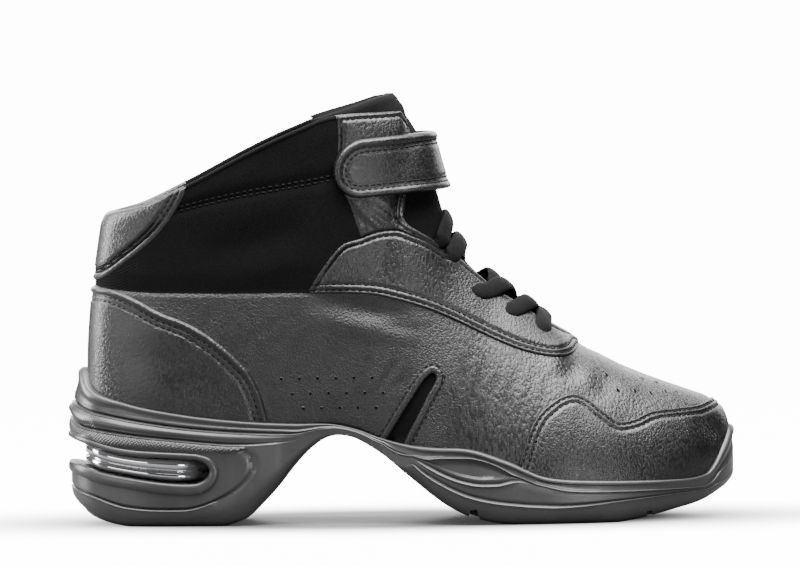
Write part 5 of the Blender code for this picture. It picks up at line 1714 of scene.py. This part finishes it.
# Strap
# Ankle strap of folded leather over thin foam, sewn down on the medial side. It goes round the
# front of the ankle and closes on the lateral ankle tab with a round free end.
STRAP_END = (111.5, 147.8)
STRAP_TILT = 0.085
STRAP_WIDTH = 24.6
STRAP_SEWN_END = 117.0
STRAP_COLUMNS = 130
STRAP_ROWS = 33
STRAP_WALL = 2.6
STRAP_STANDOFF = 2.3
STRAP_NOSE_LIFT = 1.6
STRAP_NOSE_WIDTH = 0.16
STRAP_EDGE_ROUND = 1.4
STRAP_FOLD = (2.6, 3.9)
STRAP_FOLD_DROP = 0.5
STRAP_SEAMS = (3.4, 5.2)
STRAP_SEAM_SINK = 0.5
STRAP_SEAM_WIDTH = 0.7

radius = STRAP_WIDTH / 2
x, z = STRAP_END
strap_rows = []
for angle in np.linspace(-math.pi / 2, math.pi / 2, STRAP_ROWS):
    path = SHELL.cut(x, z + radius * math.sin(angle), STRAP_TILT)
    nose = len(path) // 2
    short = radius * (1 - math.cos(angle))
    gone = travelled(path)
    start = np.interp(x + short, path[:nose, 0], gone[:nose])
    end = np.interp(-STRAP_SEWN_END, -path[nose:, 0], gone[nose:])
    strap_rows.append(trace(path, start, end, STRAP_COLUMNS))
strap_grid = relax(np.stack(strap_rows, axis=1), 60, 0)
strap_normal = unit(relax(grid_normal(strap_grid) * (1, 1, 0), 120, 0))
nose_share = np.exp(-((np.linspace(0, 1, STRAP_COLUMNS) - 0.5) / STRAP_NOSE_WIDTH) ** 2)[:, None, None]
strap_grid = strap_grid + (STRAP_STANDOFF + STRAP_NOSE_LIFT * nose_share) * strap_normal
strap_border = border_of(strap_grid)
swell = STRAP_WALL * soft_step(strap_border, STRAP_EDGE_ROUND)
swell = swell - STRAP_FOLD_DROP * ramp(strap_border, *STRAP_FOLD)
for inset in STRAP_SEAMS:
    swell = swell - STRAP_SEAM_SINK * np.exp(-((strap_border - inset) / STRAP_SEAM_WIDTH) ** 2)
strap_leather = leather("strap_leather", (1.0, 1.0, 1.0), 1500.0, 0.5, 0.5, 0.12)
strap_front = np.clip(swell, 0, None)
strap_back = np.zeros_like(swell)
strap = pillow("ankle_strap", strap_grid, strap_normal, strap_front, strap_back, [strap_leather])
hold(strap, "strap_leather", "strap")
strap_top = strap_grid + swell[..., None] * strap_normal
strap_seams = [level_line(strap_border, inset, strap_top, strap_border) for inset in STRAP_SEAMS]
stitch("strap_stitches", strap_seams, thread, "strap_leather")


# Studio
# A pale floor that runs into the background, lit by a broad soft box overhead, a wide one behind
# and a strip behind the heel for the rims, with three weak fills from the camera's side.
CAMERA_LENS = 600.0
SENSOR = 36.0
FRAME_WIDTH = 0.3353
AIM = (-0.0004, -0.015, 0.1001)
ELEVATION = 2.6
ROLL = -0.0127
BACKDROP = 14.0
ROOM_LIGHT = 0.012
FLOOR_HALF = 30.0
FLOOR_OVAL = (0.45, 1.0, 1.0)
FLOOR_SHADE = 0.05
FLOOR_SHADE_START = 0.045
FLOOR_SHADE_END = 0.13

floor_mesh = bpy.data.meshes.new("floor")
corners = [(x * FLOOR_HALF, y * FLOOR_HALF, 0) for x, y in ((-1, -1), (1, -1), (1, 1), (-1, 1))]
floor_mesh.from_pydata(corners, [], [(0, 1, 2, 3)])
floor_paper, floor_tree, floor_shader = plain_finish("floor_paper", 0.11, 0.6, 0.2)
floor_shader.inputs["Emission Color"].default_value = (1.0, 1.0, 1.0, 1.0)
floor_place = add_node(floor_tree, "ShaderNodeTexCoord").outputs["Object"]
floor_oval = add_node(
    floor_tree, "ShaderNodeVectorMath", {0: floor_place, 1: FLOOR_OVAL}, operation="MULTIPLY"
)
floor_reach = add_node(
    floor_tree, "ShaderNodeVectorMath", {0: floor_oval.outputs[0]}, operation="LENGTH"
)
# The camera sees the floor glow white, dimmed round the shoe's footprint: painted shade that fades into
# the backdrop, so the floor's own lit shading and shadows show near the shoe.
floor_glow = remap(
    floor_tree, floor_reach.outputs["Value"], FLOOR_SHADE_START, FLOOR_SHADE_END, FLOOR_SHADE, BACKDROP
)
floor_seen = add_node(floor_tree, "ShaderNodeLightPath").outputs["Is Camera Ray"]
floor_glow = maths(floor_tree, "MULTIPLY", floor_glow, floor_seen)
floor_tree.links.new(floor_glow, floor_shader.inputs["Emission Strength"])
new_piece("floor", floor_mesh, [floor_paper])

world = bpy.data.worlds.new("studio")
bpy.context.scene.world = world
world.use_nodes = True
backdrop = world.node_tree.nodes["Background"]
backdrop.inputs["Color"].default_value = (1.0, 1.0, 1.0, 1.0)
camera_ray = add_node(world.node_tree, "ShaderNodeLightPath").outputs["Is Camera Ray"]
strength = remap(world.node_tree, camera_ray, 0.0, 1.0, ROOM_LIGHT, BACKDROP)
world.node_tree.links.new(strength, backdrop.inputs["Strength"])


def soft_box(name, place, aim, width, height, power):
    """Area light at a place, turned to its aim."""
    lamp = bpy.data.lights.new(name, "AREA")
    lamp.shape = "RECTANGLE"
    lamp.size = width
    lamp.size_y = height
    lamp.energy = power
    box = bpy.data.objects.new(name, lamp)
    bpy.context.scene.collection.objects.link(box)
    box.location = place
    box.rotation_euler = (Vector(aim) - Vector(place)).to_track_quat("-Z", "Y").to_euler()


soft_box("overhead", (0.0, -0.1, 0.95), (0.02, 0.0, 0.05), 1.2, 1.0, 70.0)
soft_box("rear_left", (-0.75, 0.25, 0.35), (-0.1, 0.0, 0.08), 0.25, 0.7, 12.0)
soft_box("rear_wall", (0.15, 1.1, 0.5), (0.05, 0.0, 0.08), 1.6, 0.6, 18.0)
soft_box("front_fill", (0.1, -1.0, 1.0), (0.0, 0.0, 0.08), 0.8, 0.4, 1.2)
soft_box("left_strip", (-0.8, -0.65, 0.2), (-0.1, 0.0, 0.04), 0.8, 0.16, 3.0)
soft_box("right_fill", (0.55, -1.1, 0.08), (0.08, 0.0, 0.03), 0.3, 0.25, 5.0)

camera = bpy.data.cameras.new("camera")
camera.lens = CAMERA_LENS
camera.sensor_width = SENSOR
eye = bpy.data.objects.new("camera", camera)
bpy.context.scene.collection.objects.link(eye)
bpy.context.scene.camera = eye
distance = FRAME_WIDTH * CAMERA_LENS / SENSOR
tilt = math.radians(ELEVATION)
eye.location = Vector(AIM) + distance * Vector((0.0, -math.cos(tilt), math.sin(tilt)))
aim_turn = (Vector(AIM) - eye.location).to_track_quat("-Z", "Y").to_matrix().to_4x4()
eye.rotation_euler = (aim_turn @ Matrix.Rotation(ROLL, 4, "Z")).to_euler()
